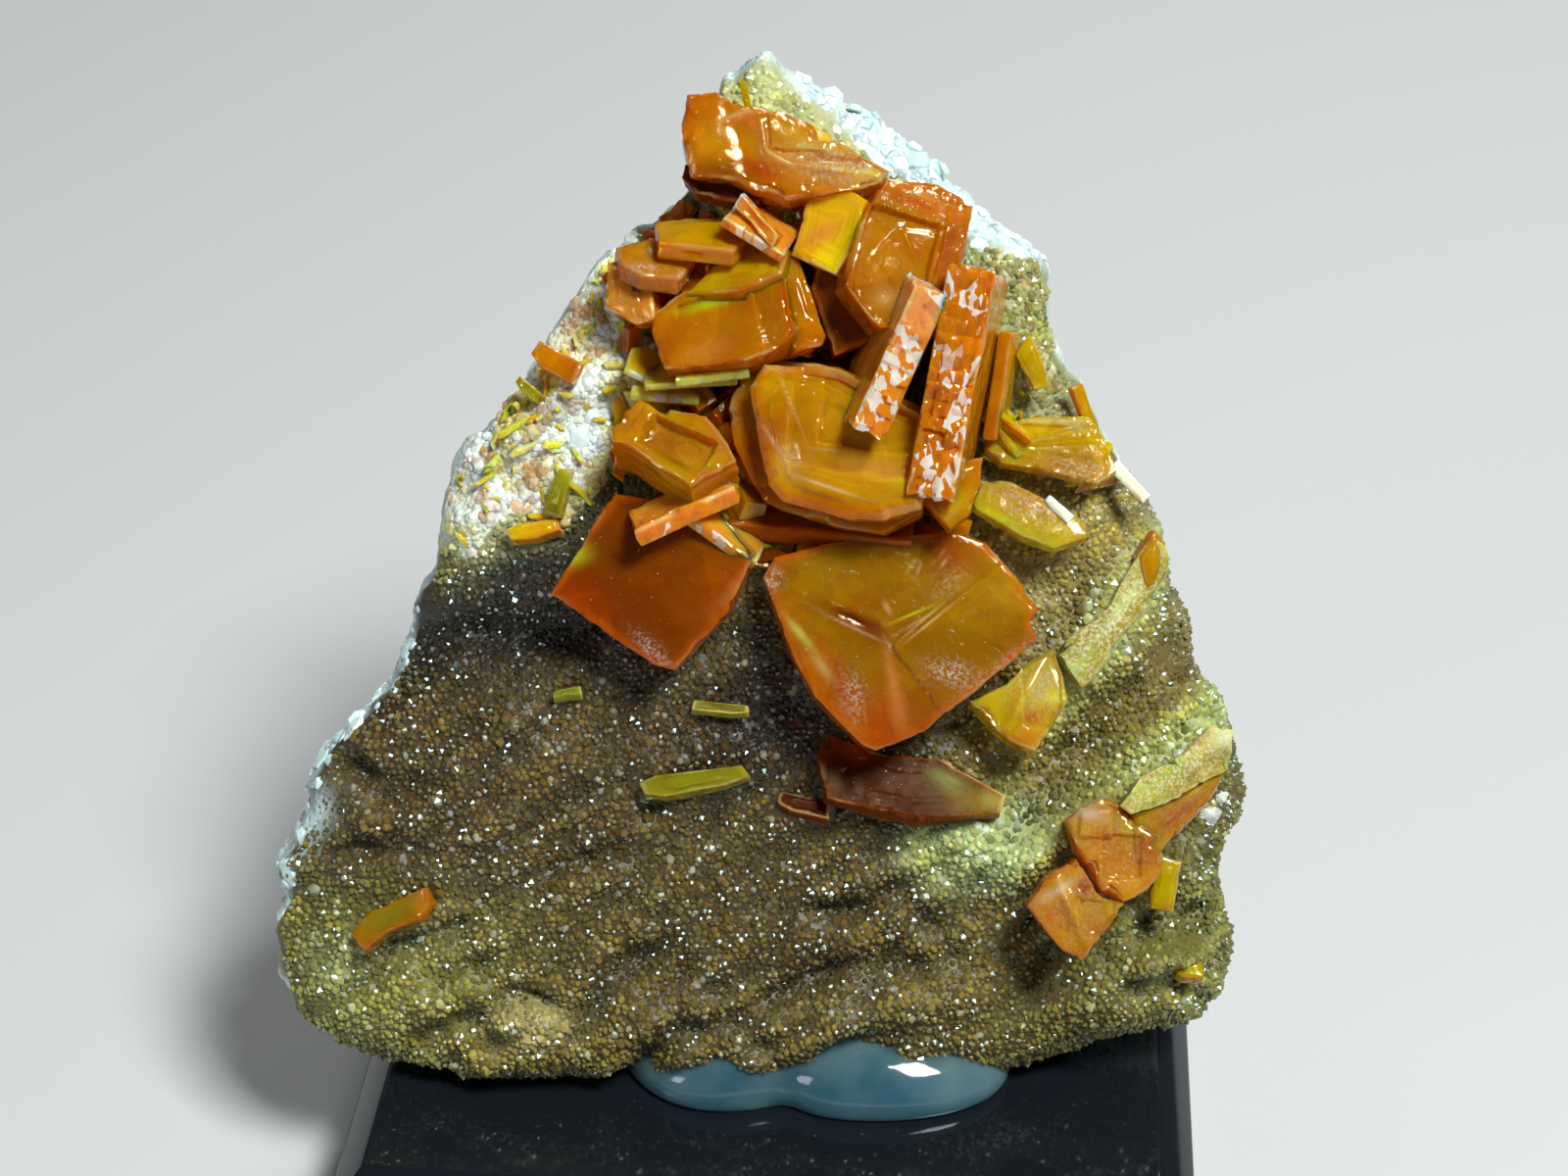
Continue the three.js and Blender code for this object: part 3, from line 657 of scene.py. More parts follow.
def slab_rings():
    """The rings of the slab: face from hub to rim, wall, and back from rim to hub. Gives points, and
    how far round the edge each ring is, from 0 on the face to 1 on the wall and back."""
    edge = closed_curve(OUTLINE, AROUND)
    out = edge - HUB
    length = np.hypot(*out.T)
    ragged = 0.22 * rough(edge[:, 0], edge[:, 1], 1.3, 3, 5)

    def towards(share, inset):
        """Places a share of the way to the edge less an inset, ragged close to the edge."""
        return HUB + out * (share * (length - inset + ragged * share**8) / length)[:, None]

    rings, turned = [], []
    bare = bare_width(*edge.T)
    for reach in np.arange(1, FACE_RINGS + 1) / FACE_RINGS:
        place = towards(reach, bare)
        height = face_height(*place.T, reach) + small_relief(*place.T) * (1 - reach**12)
        rings.append(np.column_stack([place, height]))
        turned.append(0.0)
    wave = edge[:, 0] + 2 * edge[:, 1]
    cross = 2 * edge[:, 0] - edge[:, 1]
    keys = [rings[-1]]
    insets = (0.0, 0.25 + 0.2 * np.sin(wave), 0.8 + 0.3 * np.sin(cross))
    for depth, inset in zip((-0.26, -0.5, -0.75), insets):
        place = towards(1, inset)
        chipped = 0.25 * np.sin(1.7 * place[:, 0] + 2.3 * place[:, 1])
        chipped = chipped + 0.2 * np.sin(3.1 * place[:, 1] - 1.3 * place[:, 0])
        keys.append(np.column_stack([place, depth * (EDGE_THICK + chipped)]))
    place = towards(1, BACK_INSET)
    keys.append(np.column_stack([place, back_depth(*place.T) + BACK_STEP]))
    keys = np.array(keys)
    steps = np.linspace(0, len(keys) - 1, WALL_RINGS + 2)[1:-1]
    for step in steps:
        low = int(step)
        ring = keys[low] * (1 - step + low) + keys[low + 1] * (step - low)
        swell = 0.25 * rough(edge[:, 0] + ring[:, 2], edge[:, 1] - ring[:, 2], 2.0, 4, 31)
        broken = 0.12 * facets(edge[:, 0] + edge[:, 1], ring[:, 2] * 1.3, 1.7, 41)
        ring[:, :2] += out / length[:, None] * (swell + broken)[:, None]
        rings.append(ring)
        turned.append(min(1.0, step / 0.8))
    for reach in np.arange(BACK_RINGS, 0, -1) / BACK_RINGS:
        place = towards(reach, BACK_INSET)
        depth = back_depth(*place.T) + BACK_STEP * reach**6 + 0.3 * rough(*place.T, 3.2, 4, 51)
        depth = depth + 0.7 * facets(*place.T, 4.2, 61) + 0.3 * facets(*place.T, 1.7, 62)
        rings.append(np.column_stack([place, depth]))
        turned.append(1.0)
    return above_base(np.array(rings)), np.array(turned)


slab_lattice, slab_turned = slab_rings()
hub_height = face_height(*HUB, 0.0) + small_relief(*HUB)
slab_points = closed(slab_lattice, [*HUB, hub_height], [*HUB, back_depth(*HUB)])
u, v, w = slab_points.T
MILKY_PATCHES = [  # u, v, half length, half width, degrees, strength
    (-11.0, 28.4, 1.5, 1.0, 50, 1.2), (-8.6, 30.6, 1.0, 0.7, 30, 0.9), (-12.8, 26.6, 1.4, 0.8, 60, 0.8),
    (-19.8, 11.6, 1.6, 0.7, 60, 1.1), (8.0, 41.2, 4.6, 0.9, -48, 1.0),
]
patches = sum(row[5] * bell(u - row[0], v - row[1], *row[2:5]) for row in MILKY_PATCHES)
slab_bare = np.concatenate([[0.0], np.repeat(slab_turned, AROUND), [1.0]])
slab_bare = np.clip(slab_bare + patches + 0.25 * rough(u, v, 1.5, 3, 71) * (slab_bare > 0.02), 0, 1)
on_rind = inside(u, v, RIND) & (w > -1)
rind_paint = 1.9 * rind_tints(u, v, np.random.default_rng(2))
slab_tint = np.where(on_rind[:, None], rind_paint, zoned(u, v, DRUSE_ZONES, DRUSE_GROUND))
slab_bare = np.where(on_rind, 0.5, slab_bare)
slab_bare = np.where(drusy_edge(u, v) & (w > -2.5), 0.2 * slab_bare, slab_bare)
rock = make_piece(
    "rock", to_base(slab_points), skin_faces(len(slab_turned), AROUND), [ROCK],
    {"tint": slab_tint, "bare": slab_bare},
)
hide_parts("matrix")

# %% [markdown]
# ## The tablets
# A wulfenite crystal is a thin square tablet, and few of these are whole: sides are broken off, rims
# are chipped, and broad faces grow in low terraces, some of which sink and make a hopper. A box with
# a bevel would look like cut plastic. So each tablet is a skin of rings that follow its own outline,
# from the middle of its broad face to a thin bevel, down the side and in again below. The side is cut
# into little facets, which is where real ones glint.

# %% One tablet
RIM_SHARE, UNDER_SHARE = 0.85, 0.5  # of the rim's colour on the side and below


def uneven_square(half, draw):
    """Corners of a square of the given half sizes, each pulled in a little, and one cut in two."""
    corners = [np.array(c) * (1 - draw.uniform(0, 0.13, 2)) for c in ((-1, -1), (1, -1), (1, 1), (-1, 1))]
    cut = draw.integers(4)
    before, after = corners[cut - 1], corners[(cut + 1) % 4]
    corner, share = corners[cut], draw.uniform(0.12, 0.35)
    corners[cut : cut + 1] = [corner + (before - corner) * share, corner + (after - corner) * share]
    return np.array(corners) * half


def round_outline(corners, step):
    """Points round an outline: each side from corner to corner in even steps."""
    corners = np.asarray(corners, float)
    sides = []
    for start, end in zip(corners, np.roll(corners, -1, 0)):
        count = max(3, int(np.hypot(*(end - start)) / step))
        sides.append(start + (end - start) * (np.arange(count) / count)[:, None])
    return np.concatenate(sides)


def tablet(size, seed, corners=None, step=0.26, face_rings=10, boxes=(), terraces=(), layers=0,
           mosaic=0.03, lift=0.0, waves=0.02, bevel=0.09, chips=0.05, ridges=(), steps=3):
    """Points of a tablet about the origin ring by ring, with each one's share of rim colour and of
    the pale glint along its edge. Along each ray from the middle, a top ring is a share of the reach
    to the outline less the bevel and the chips. A side ring is the reach plus facets less grooves
    between layers. The height is half the thickness, plus terraces that follow the outline, plus
    boxes, ridges and soft waves."""
    draw = np.random.default_rng(seed)
    thick = size[2]
    if corners is None:
        corners = uneven_square(np.array(size[:2]) / 2, draw)
    path = round_outline(corners, step)
    reach = np.hypot(*path.T)
    outward = path / reach[:, None]
    course = np.cumsum(np.hypot(*(path - np.roll(path, 1, 0)).T))
    flat = 0 * course
    chip = chips * 3 * np.clip(rough(course, flat + seed, 0.8, 3, seed) - 0.35, 0, 1)
    bevel = min(bevel, 0.25 * thick, 0.2 * reach.min())
    shares = np.linspace(0, 1, face_rings + 1)[1:] ** 0.9
    levels = np.linspace(thick / 2 - 0.8 * bevel, bevel - thick / 2, max(5, int(thick / 0.14)))
    rings, rims = [], []
    for share in shares:
        place = outward * (share * (reach - bevel - chip))[:, None]
        rings.append(np.column_stack([place, flat + thick / 2]))
        rims.append(RIM_SHARE * ramp(share - 0.94 + 0.03 * rough(course, flat, 1.3, 2, seed), 0.14))
    for level in levels:
        groove = 0.05 * layers**0.5 * np.abs(np.cos(np.pi * layers * level / thick)) ** 8
        along = path.sum(1)
        out = mosaic * facets(along, level + 9, 0.7, seed) - groove
        out = out - lift * (along / 0.7 - np.floor(along / 0.7) - 0.5)
        out = out + 0.5 * waves * rough(course, level + 3, 1.1, 2, seed)
        out = out - chip * np.exp(-(((thick / 2 - level) / 0.35) ** 2))
        rings.append(np.column_stack([outward * (reach + out)[:, None], flat + level]))
        rims.append(flat + RIM_SHARE)
    for share in shares[::-1][:: max(1, face_rings // 4)]:
        rings.append(np.column_stack([outward * (share * (reach - bevel))[:, None], flat - thick / 2]))
        rims.append(flat + UNDER_SHARE)
    points, rims = np.array(rings), np.array(rims)
    glints = np.zeros(rims.shape)
    shiny = np.clip(0.2 + 1.1 * rough(course, flat, 1.4, 3, seed + 8), 0, 1)
    glints[face_rings - 1 : face_rings + 1] = shiny
    top = points[: len(shares)]
    x, y = top[..., 0], top[..., 1]
    relief = waves * rough(x + 7, y + 3, 1.6, 3, seed + 1)
    own = []
    for _ in range(steps):
        own.append((draw.uniform(0.35, 0.93), draw.choice([-1, 1]) * draw.uniform(0.02, 0.05)))
    uneven = shares[:, None] + 0.05 * rough(x, y, 1.2, 2, seed + 3)
    for share, rise in [*terraces, *own]:
        relief = relief + rise * ramp(share - uneven, 1.6 / face_rings)
    for at_x, at_y, half_x, half_y, rise, soft in boxes:
        wobble = 0.08 * rough(x, y, 1.1, 2, seed + 5)
        across = ramp(half_x - np.abs(x - at_x) + wobble, soft)
        relief = relief + rise * across * ramp(half_y - np.abs(y - at_y) + wobble, soft)
    for at_x, at_y, length, width, degrees, rise in ridges:
        relief = relief + rise * bell(x - at_x, y - at_y, length, width, degrees)
    fade = ramp(1.01 - shares, 0.06)[:, None]
    top[..., 2] += relief * fade - (0.7 * chip + 0.01) * (shares[:, None] > 0.97)
    middle = [0, 0, top[0, :, 2].mean()]
    rims = np.concatenate([[0.0], rims.ravel(), [UNDER_SHARE]])
    glints = np.concatenate([[0.0], glints.ravel(), [0.0]])
    return closed(points, middle, [0, 0, -thick / 2]), rims, glints, len(rings)


def placed(points, middle, turns):
    """Tablet points to the slab: spin in its own plane, then side, up and roll, then the middle."""
    spin, side, up, roll = turns
    turn = turn_about("z", roll) @ turn_about("x", -up) @ turn_about("y", side) @ turn_about("z", spin)
    return points @ turn.T + np.array(middle)


print("a plain tablet of 5 mm has", len(tablet([5.0, 5.0, 1.0], 1)[0]), "points")

# %% [markdown]
# ## Which crystal is where
# One row for each tablet: its node, its own name, middle, size, turns and look. Crystals of one node
# grew into each other. The looks are the colours of the body and of the rim, and a finish.

# %% The crystals' table
LOOKS = {  # body, rim, finish, glitter
    "deep": ((148, 70, 1), (213, 102, 3), 1, 0.10),
    "honey": ((174, 124, 4), (214, 112, 4), 1, 0.10),
    "amber": ((220, 166, 8), (226, 134, 4), 1, 0.20),
    "orange": ((212, 138, 3), (218, 120, 3), 1, 0.45),
    "bright": ((232, 184, 12), (232, 158, 8), 0, 0.45),
    "red": ((204, 132, 14), (208, 118, 9), 0, 1.0),
    "yellow": ((212, 182, 4), (220, 176, 8), 1, 0.45),
    "glassy": ((236, 200, 26), (244, 220, 110), 1, 0.95),
    "green": ((167, 163, 27), (194, 188, 57), 1, 0.5),
    "moss": ((112, 110, 30), (140, 138, 50), 2, 0.3),
    "pink": ((224, 146, 38), (231, 132, 22), 0, 0.9),
    "dull": ((66, 20, 2), (104, 44, 6), 2, 0.35),
    "white": ((222, 226, 200), (236, 240, 226), 2, 0.3),
    "crusty": ((150, 138, 40), (140, 148, 62), 2, 0.5),
}
FINISHES = [CLOUDED, CLEAR, CRUSTED]
CENTRAL, CROWN, AMBER = "central_cluster", "crown_cluster", "amber_cluster"
RIGHT_BAR, LOWER_RIGHT = "right_bar", "lower_right_cluster"
TABLETS = [  # node, own name, middle, size, turns (spin, side, up, roll), look
    (CROWN, "crown_mass", [1.0, 41.3, 2.8], [9.0, 4.9, 2.0], [0, 2, 14, 0], "orange"),
    (CROWN, "apex_blade", [-0.25, 43.7, 1.9], [0.34, 1.3, 0.3], [0, 0, 8, 12], "yellow"),
    (CROWN, "crown_foot", [-1.2, 39.9, 2.5], [3.6, 1.8, 1.3], [0, -6, 20, 0], "dull"),
    (CENTRAL, "glint_blade", [0.3, 38.6, 4.6], [0.6, 2.5, 0.5], [0, -20, 10, 43], "pink"),
    (CENTRAL, "dark_recess", [-3.4, 36.2, 2.2], [3.6, 2.0, 1.4], [0, 0, 20, 0], "deep"),
    (CENTRAL, "deep_filler", [4.2, 35.2, 2.6], [3.4, 4.4, 1.4], [0, 8, 10, 20], "deep"),
    (CENTRAL, "upper_block", [6.3, 36.9, 3.7], [4.7, 6.4, 2.8], [0, 8, 14, -14], "orange"),
    (CENTRAL, "bright_plate", [3.4, 38.1, 3.3], [2.8, 3.8, 1.3], [0, -16, 10, -10], "bright"),
    (CENTRAL, "leaning_blade", [0.4, 38.2, 3.6], [3.0, 2.6, 0.5], [0, -10, 62, -42], "pink"),
    (CENTRAL, "upper_shelf", [-2.0, 37.7, 2.9], [4.2, 3.0, 0.8], [0, 0, 66, -2], "amber"),
    (CENTRAL, "lower_shelf", [-3.9, 36.7, 2.7], [3.6, 3.2, 0.9], [0, 0, 58, -4], "orange"),
    (CENTRAL, "shelf_end", [-5.0, 35.5, 2.4], [2.6, 2.9, 1.2], [0, -22, 12, 4], "pink"),
    (CENTRAL, "fan_front", [-1.0, 34.1, 4.0], [6.2, 3.7, 1.6], [0, -6, 24, 13], "orange"),
    (CENTRAL, "fan_back", [-0.4, 36.3, 3.6], [5.0, 3.0, 0.7], [0, 0, 50, 20], "amber"),
    (CENTRAL, "fan_end", [1.7, 34.8, 3.7], [2.1, 4.4, 1.3], [0, 28, 12, 24], "orange"),
    (CENTRAL, "thin_upper", [-1.6, 32.4, 3.3], [3.4, 3.2, 0.4], [0, 0, 74, 7], "glassy"),
    (CENTRAL, "thin_lower", [-3.6, 31.6, 2.3], [3.2, 3.0, 0.4], [0, 0, 66, -5], "glassy"),
    (CENTRAL, "thin_middle", [-2.6, 32.1, 3.0], [4.4, 2.6, 0.3], [0, 0, 70, 3], "glassy"),
    (CENTRAL, "thin_end", [-4.3, 32.3, 2.4], [2.4, 2.4, 0.3], [0, 10, 60, -16], "glassy"),
    (CENTRAL, "middle_foot", [3.3, 29.1, 3.5], [8.8, 7.0, 2.0], [-8, -6, 12, 0], "orange"),
    (CENTRAL, "middle_head", [3.7, 29.3, 5.1], [7.8, 6.2, 1.7], [-8, -6, 12, 0], "amber"),
    (CENTRAL, "upright_left", [5.8, 33.2, 4.6], [5.6, 7.0, 1.5], [0, -80, 0, -24], "pink"),
    (CENTRAL, "upright_right", [8.7, 31.8, 4.4], [6.0, 10.2, 2.0], [0, 79, 0, -10], "red"),
    (CENTRAL, "upright_tip", [8.29, 27.25, 4.6], [2.7, 3.1, 1.6], [0, 0, 14, 0], "orange"),
    (CENTRAL, "stack", [-3.1, 28.7, 4.1], [5.4, 3.3, 2.6], [-30, -4, 36, 0], "amber"),
    (CENTRAL, "stack_blade", [-3.0, 26.5, 4.7], [4.8, 2.4, 0.8], [0, 0, 70, 22], "pink"),
    (CENTRAL, "slanting_plate", [-1.1, 25.4, 4.1], [3.6, 2.0, 0.6], [0, 0, 56, -42], "pink"),
    (CENTRAL, "tucked_plate", [2.8, 26.1, 2.7], [9.0, 3.2, 1.0], [0, 0, 48, -6], "deep"),
    (CENTRAL, "left_square", [-3.9, 23.6, 3.7], [7.0, 7.2, 1.4], [-35, -6, 12, 0], "deep"),
    (CENTRAL, "great_square", [6.2, 21.3, 3.8], [10.0, 10.0, 1.9], [37, 4, 14, 0], "honey"),
    (AMBER, "amber_upright", [10.7, 31.6, 2.3], [2.4, 4.8, 0.6], [0, 74, 0, -8], "amber"),
    (AMBER, "amber_ray", [11.0, 29.9, 2.9], [2.6, 0.35, 0.5], [0, 0, 30, -36], "bright"),
    (AMBER, "amber_ray_low", [10.6, 29.4, 2.8], [2.4, 0.3, 0.5], [0, 0, 30, -52], "yellow"),
    # amber_glint is painted white: a painted highlight for a small face that flashes the light.
    (AMBER, "amber_glint", [16.2, 27.4, 1.9], [1.8, 1.9, 0.5], [0, 0, 10, 0], "white"),
    (AMBER, "white_prism", [13.1, 26.3, 3.0], [0.45, 1.5, 0.4], [0, 0, 20, 50], "white"),
    (AMBER, "amber_shelf", [12.76, 28.81, 2.25], [5.6, 3.1, 0.9], [0, 0, 24, 0], "yellow"),
    ("amber_corner_tablet", "", [11.9, 26.06, 2.5], [4.9, 3.0, 1.0], [0, 0, 24, 0], "yellow"),
    ("small_upright_tablet", "", [11.94, 32.54, 2.2], [1.4, 2.4, 0.7], [0, 0, 8, 0], "yellow"),
    ("thin_edge_tablet", "", [14.3, 30.5, 1.2], [1.2, 2.2, 0.5], [0, 20, 10, 0], "amber"),
    ("reddish_tablet", "", [6.6, 14.0, 2.5], [8.8, 3.1, 1.4], [0, 0, 26, -12], "dull"),
    (RIGHT_BAR, "bar_foot", [11.46, 18.06, 2.8], [4.1, 4.5, 1.6], [0, 0, 20, 0], "yellow"),
    (RIGHT_BAR, "bar_head", [15.26, 21.24, 2.1], [5.4, 7.7, 1.0], [0, 0, 14, 0], "crusty"),
    (LOWER_RIGHT, "corner_block", [15.66, 11.62, 3.1], [4.1, 4.6, 1.8], [0, 0, 16, 0], "amber"),
    (LOWER_RIGHT, "corner_wedge", [18.38, 13.12, 2.8], [4.4, 4.0, 1.6], [0, 0, 16, 0], "amber"),
    (LOWER_RIGHT, "corner_tip", [14.0, 9.08, 3.4], [4.2, 4.3, 2.0], [0, 0, 12, 0], "amber"),
    (LOWER_RIGHT, "corner_crust", [18.28, 15.12, 3.0], [4.8, 3.6, 1.2], [0, 0, 14, 0], "crusty"),
    ("lower_right_needle", "", [18.1, 9.5, 1.8], [1.1, 2.3, 0.7], [0, 0, 8, -10], "yellow"),
    ("lower_right_chip", "", [19.3, 5.4, 1.5], [1.3, 0.8, 0.8], [0, 0, 36, 0], "yellow"),
    ("left_flake", "", [-15.8, 7.9, 1.6], [3.8, 1.4, 0.9], [0, 0, 26, 28], "orange"),
    ("yellow_needle", "", [-2.6, 14.2, 2.6], [4.9, 1.1, 0.9], [0, 0, 30, 5], "green"),
    ("small_red_needle", "", [2.2, 13.0, 2.1], [2.5, 0.8, 0.8], [0, 0, 36, -12], "dull"),
    ("green_needle", "", [-1.4, 17.5, 2.8], [2.6, 0.45, 0.6], [0, 0, 36, -6], "moss"),
    ("short_green_needle", "", [-8.0, 18.1, 2.5], [1.3, 0.4, 0.6], [0, 0, 36, 8], "moss"),
    ("left_amber_flake", "", [-9.4, 25.1, 1.8], [2.5, 0.9, 0.9], [0, 0, 28, 10], "bright"),
    ("left_amber_blade", "", [-8.3, 26.9, 2.0], [0.8, 2.2, 0.6], [0, -20, 0, -14], "green"),
    ("broken_tablet", "", [-8.4, 32.4, 1.5], [2.4, 1.0, 0.6], [-30, -10, 20, 0], "orange"),
    ("broken_chip", "", [-9.6, 31.2, 1.2], [1.5, 0.5, 0.5], [-40, -14, 20, 0], "green"),
    ("right_edge_blade", "", [17.2, 23.9, 1.5], [1.2, 2.6, 0.9], [0, 14, 10, 0], "amber"),
]
CORNERS = {  # outlines of the larger crystals, in mm about their own middles, anticlockwise
    "crown_mass": [
        (-3.5, -1.1), (-1.9, -1.3), (-0.9, -1.8), (0.4, -2.2), (2.0, -1.9), (3.2, -1.7), (4.3, -1.5),
        (4.7, -0.9), (3.6, -0.3), (2.8, 0.3), (1.9, 0.4), (1.5, 1.0), (0.4, 1.5), (-0.7, 1.8),
        (-1.9, 2.0), (-2.5, 2.4), (-3.7, 2.3), (-3.9, 0.7),
    ],
    "crown_foot": [
        (-1.7, 0.3), (-1.1, -0.4), (0.2, -0.8), (1.6, -0.9), (1.8, -0.1), (1.0, 0.5), (-1.6, 0.9),
    ],
    "bright_plate": [(-1.4, -1.3), (0.6, -1.9), (1.2, -0.4), (1.4, 1.4), (0.5, 1.8), (-1.1, 1.5)],
    "upper_block": [
        (-2.3, 0.8), (-2.3, -1.9), (-0.5, -3.3), (1.9, -3.0), (2.2, -0.7), (2.2, 2.8), (0.5, 3.2),
        (-1.7, 2.8),
    ],
    "upper_shelf": [(-1.9, -1.1), (1.3, -1.6), (2.1, 0.5), (1.4, 1.5), (-0.7, 1.4), (-2.1, 0.8)],
    "lower_shelf": [
        (-1.6, -0.8), (-0.7, -1.4), (0.9, -1.6), (1.7, 0.4), (1.3, 1.5), (-0.5, 1.3), (-1.9, 0.4),
    ],
    "shelf_end": [(-1.2, -0.6), (0.2, -1.5), (1.1, -1.4), (1.1, 1.3), (-0.9, 1.3)],
    "fan_front": [
        (-2.9, -1.3), (-2.0, -1.5), (0.6, -1.9), (2.1, -1.7), (2.8, -1.3), (2.9, 1.7), (1.2, 1.6),
        (-1.4, 1.8), (-2.8, 1.2), (-3.1, 0.4),
    ],
    "fan_back": [(-0.3, -1.2), (1.6, -1.1), (2.2, 0.1), (0.6, 1.5), (-0.7, 1.0), (-2.5, -0.3)],
    "fan_end": [
        (-0.4, 1.2), (-1.1, -0.4), (-0.9, -1.8), (0.3, -1.9), (0.7, -1.6), (1.0, 2.2), (0.3, 2.4),
    ],
    "middle_foot": [
        (-4.2, 1.8), (-4.5, 1.1), (-4.0, -0.6), (-3.0, -2.1), (-2.4, -2.8), (-1.5, -3.1), (1.2, -3.5),
        (2.8, -3.5), (4.3, -2.5), (4.1, 1.9), (0.0, 3.3), (-3.8, 3.2),
    ],
    "middle_head": [
        (-4.0, 1.8), (-3.5, 0.1), (-2.7, -2.1), (-2.0, -2.7), (0.8, -3.1), (2.3, -3.0), (3.8, -2.3),
        (3.8, 1.4), (-0.4, 3.0), (-3.6, 2.9),
    ],
    "stack": [
        (-2.8, -0.7), (-2.4, -1.3), (-1.8, -1.1), (1.7, -1.6), (2.7, 0.4), (2.0, 0.9), (0.5, 1.6),
        (-1.5, 1.1), (-2.4, 1.0),
    ],
    "stack_blade": [
        (-2.1, -1.1), (0.3, -0.9), (2.5, -0.7), (2.6, 0.5), (0.4, 1.0), (-0.9, 1.2), (-2.2, 0.9),
    ],
    "slanting_plate": [(0.5, -0.7), (1.8, -0.4), (1.6, 0.9), (-0.4, 0.9), (-1.4, 0.4), (-1.8, -1.0)],
    "left_square": [
        (2.1, -3.3), (2.9, -3.0), (3.4, 0.3), (2.9, 3.1), (0.6, 3.6), (-3.5, 1.7), (-3.5, 0.5),
        (-3.4, -0.8), (-3.3, -3.4),
    ],
    "great_square": [
        (-4.4, 1.7), (-4.7, -0.3), (-4.3, -3.1), (-4.0, -3.6), (-1.9, -4.2), (2.7, -4.1), (4.4, -4.0),
        (4.6, -3.2), (5.2, -3.0), (5.3, -1.4), (5.1, 0.6), (4.3, 1.8), (0.0, 4.5), (-2.5, 5.5),
        (-3.4, 5.1),
    ],
    "amber_shelf": [
        (-2.8, 0.76), (-2.8, -0.16), (-2.2, -0.75), (0.04, -1.2), (2.0, -1.7), (2.8, -1.1), (2.2, 0.6),
        (1.6, 1.36), (-0.9, 1.3),
    ],
    "upright_tip": [(-1.35, 0.9), (-1.2, -0.3), (0.0, -1.75), (0.85, -1.1), (1.3, 0.24), (1.4, 1.35)],
    "thin_edge_tablet": [(-0.7, 0.8), (0.1, -1.1), (0.6, -1.0), (-0.2, 1.0)],
    "amber_glint": [(-0.9, 0.5), (0.6, -1.0), (0.9, -0.65), (-0.5, 0.9)],
    "right_edge_blade": [(-0.6, 0.1), (-0.25, -1.4), (0.6, -0.6), (0.6, 0.7), (0.1, 1.25)],
    "corner_wedge": [(-2.1, -0.3), (-1.0, -2.2), (-0.3, -1.4), (1.3, 0.1), (2.2, 1.8), (0.3, 0.8)],
    "amber_corner_tablet": [
        (-2.45, 0.1), (-1.5, -0.45), (-0.35, -1.2), (1.0, -1.7), (2.4, -1.2), (2.3, -0.45), (0.6, 0.5),
        (-0.9, 1.3), (-2.1, 1.3),
    ],
    "small_upright_tablet": [(-0.72, 0.26), (0.09, -1.24), (0.72, -1.11), (0.34, 0.39), (-0.16, 1.14)],
    "reddish_tablet": [
        (-3.3, -1.3), (0.7, -1.5), (4.3, -0.4), (4.4, 0.4), (1.4, 1.4), (-1.9, 1.1), (-3.8, 1.5),
        (-4.0, 0.4),
    ],
    "bar_foot": [
        (-2.1, -0.3), (-1.1, -1.45), (-0.4, -2.0), (0.7, -2.5), (1.3, -1.45), (2.1, -0.3), (1.9, 0.8),
        (1.5, 2.0), (0.4, 1.4), (-0.55, 0.45),
    ],
    "bar_head": [
        (-2.1, -1.5), (-1.6, -2.1), (-1.1, -2.9), (-0.7, -2.6), (-0.05, -1.7), (0.7, -0.6), (1.85, 0.8),
        (2.7, 2.1), (2.6, 3.2), (2.1, 3.75), (1.5, 3.0), (0.8, 1.9), (0.26, 0.93), (-0.45, 0.1),
        (-1.7, -0.8),
    ],
    "corner_block": [
        (-2.05, 1.0), (-1.7, -0.1), (-0.6, -2.0), (0.35, -2.55), (1.3, -2.0), (2.05, -1.2), (2.1, 0.3),
        (0.4, 1.4), (-0.15, 2.05), (-1.3, 1.6),
    ],
    "corner_tip": [
        (-2.1, -0.1), (-1.55, -0.9), (-0.6, -2.0), (0.3, -2.35), (1.3, -1.05), (2.1, 0.05), (1.1, 0.25),
        (0.0, 1.95), (-1.35, 1.0),
    ],
    "corner_crust": [
        (-2.4, -1.75), (-1.95, -2.1), (-0.5, -1.7), (0.9, -0.95), (2.2, -0.2), (2.4, 1.45), (1.5, 1.65),
        (0.35, 0.5), (-1.55, -0.6),
    ],
    "left_flake": [
        (-1.8, -0.8), (-0.6, -0.5), (1.2, -0.7), (1.9, -0.3), (2.0, 0.5), (-0.9, 0.7), (-2.0, 0.2),
    ],
    "yellow_needle": [
        (-2.1, -0.4), (-1.2, -0.6), (1.4, -0.3), (2.5, 0.0), (2.2, 0.5), (-1.6, 0.4), (-2.3, 0.1),
    ],
    "left_amber_flake": [(-1.0, -0.3), (0.1, -0.4), (1.2, -0.2), (1.1, 0.3), (-0.6, 0.4), (-1.2, 0.2)],
}
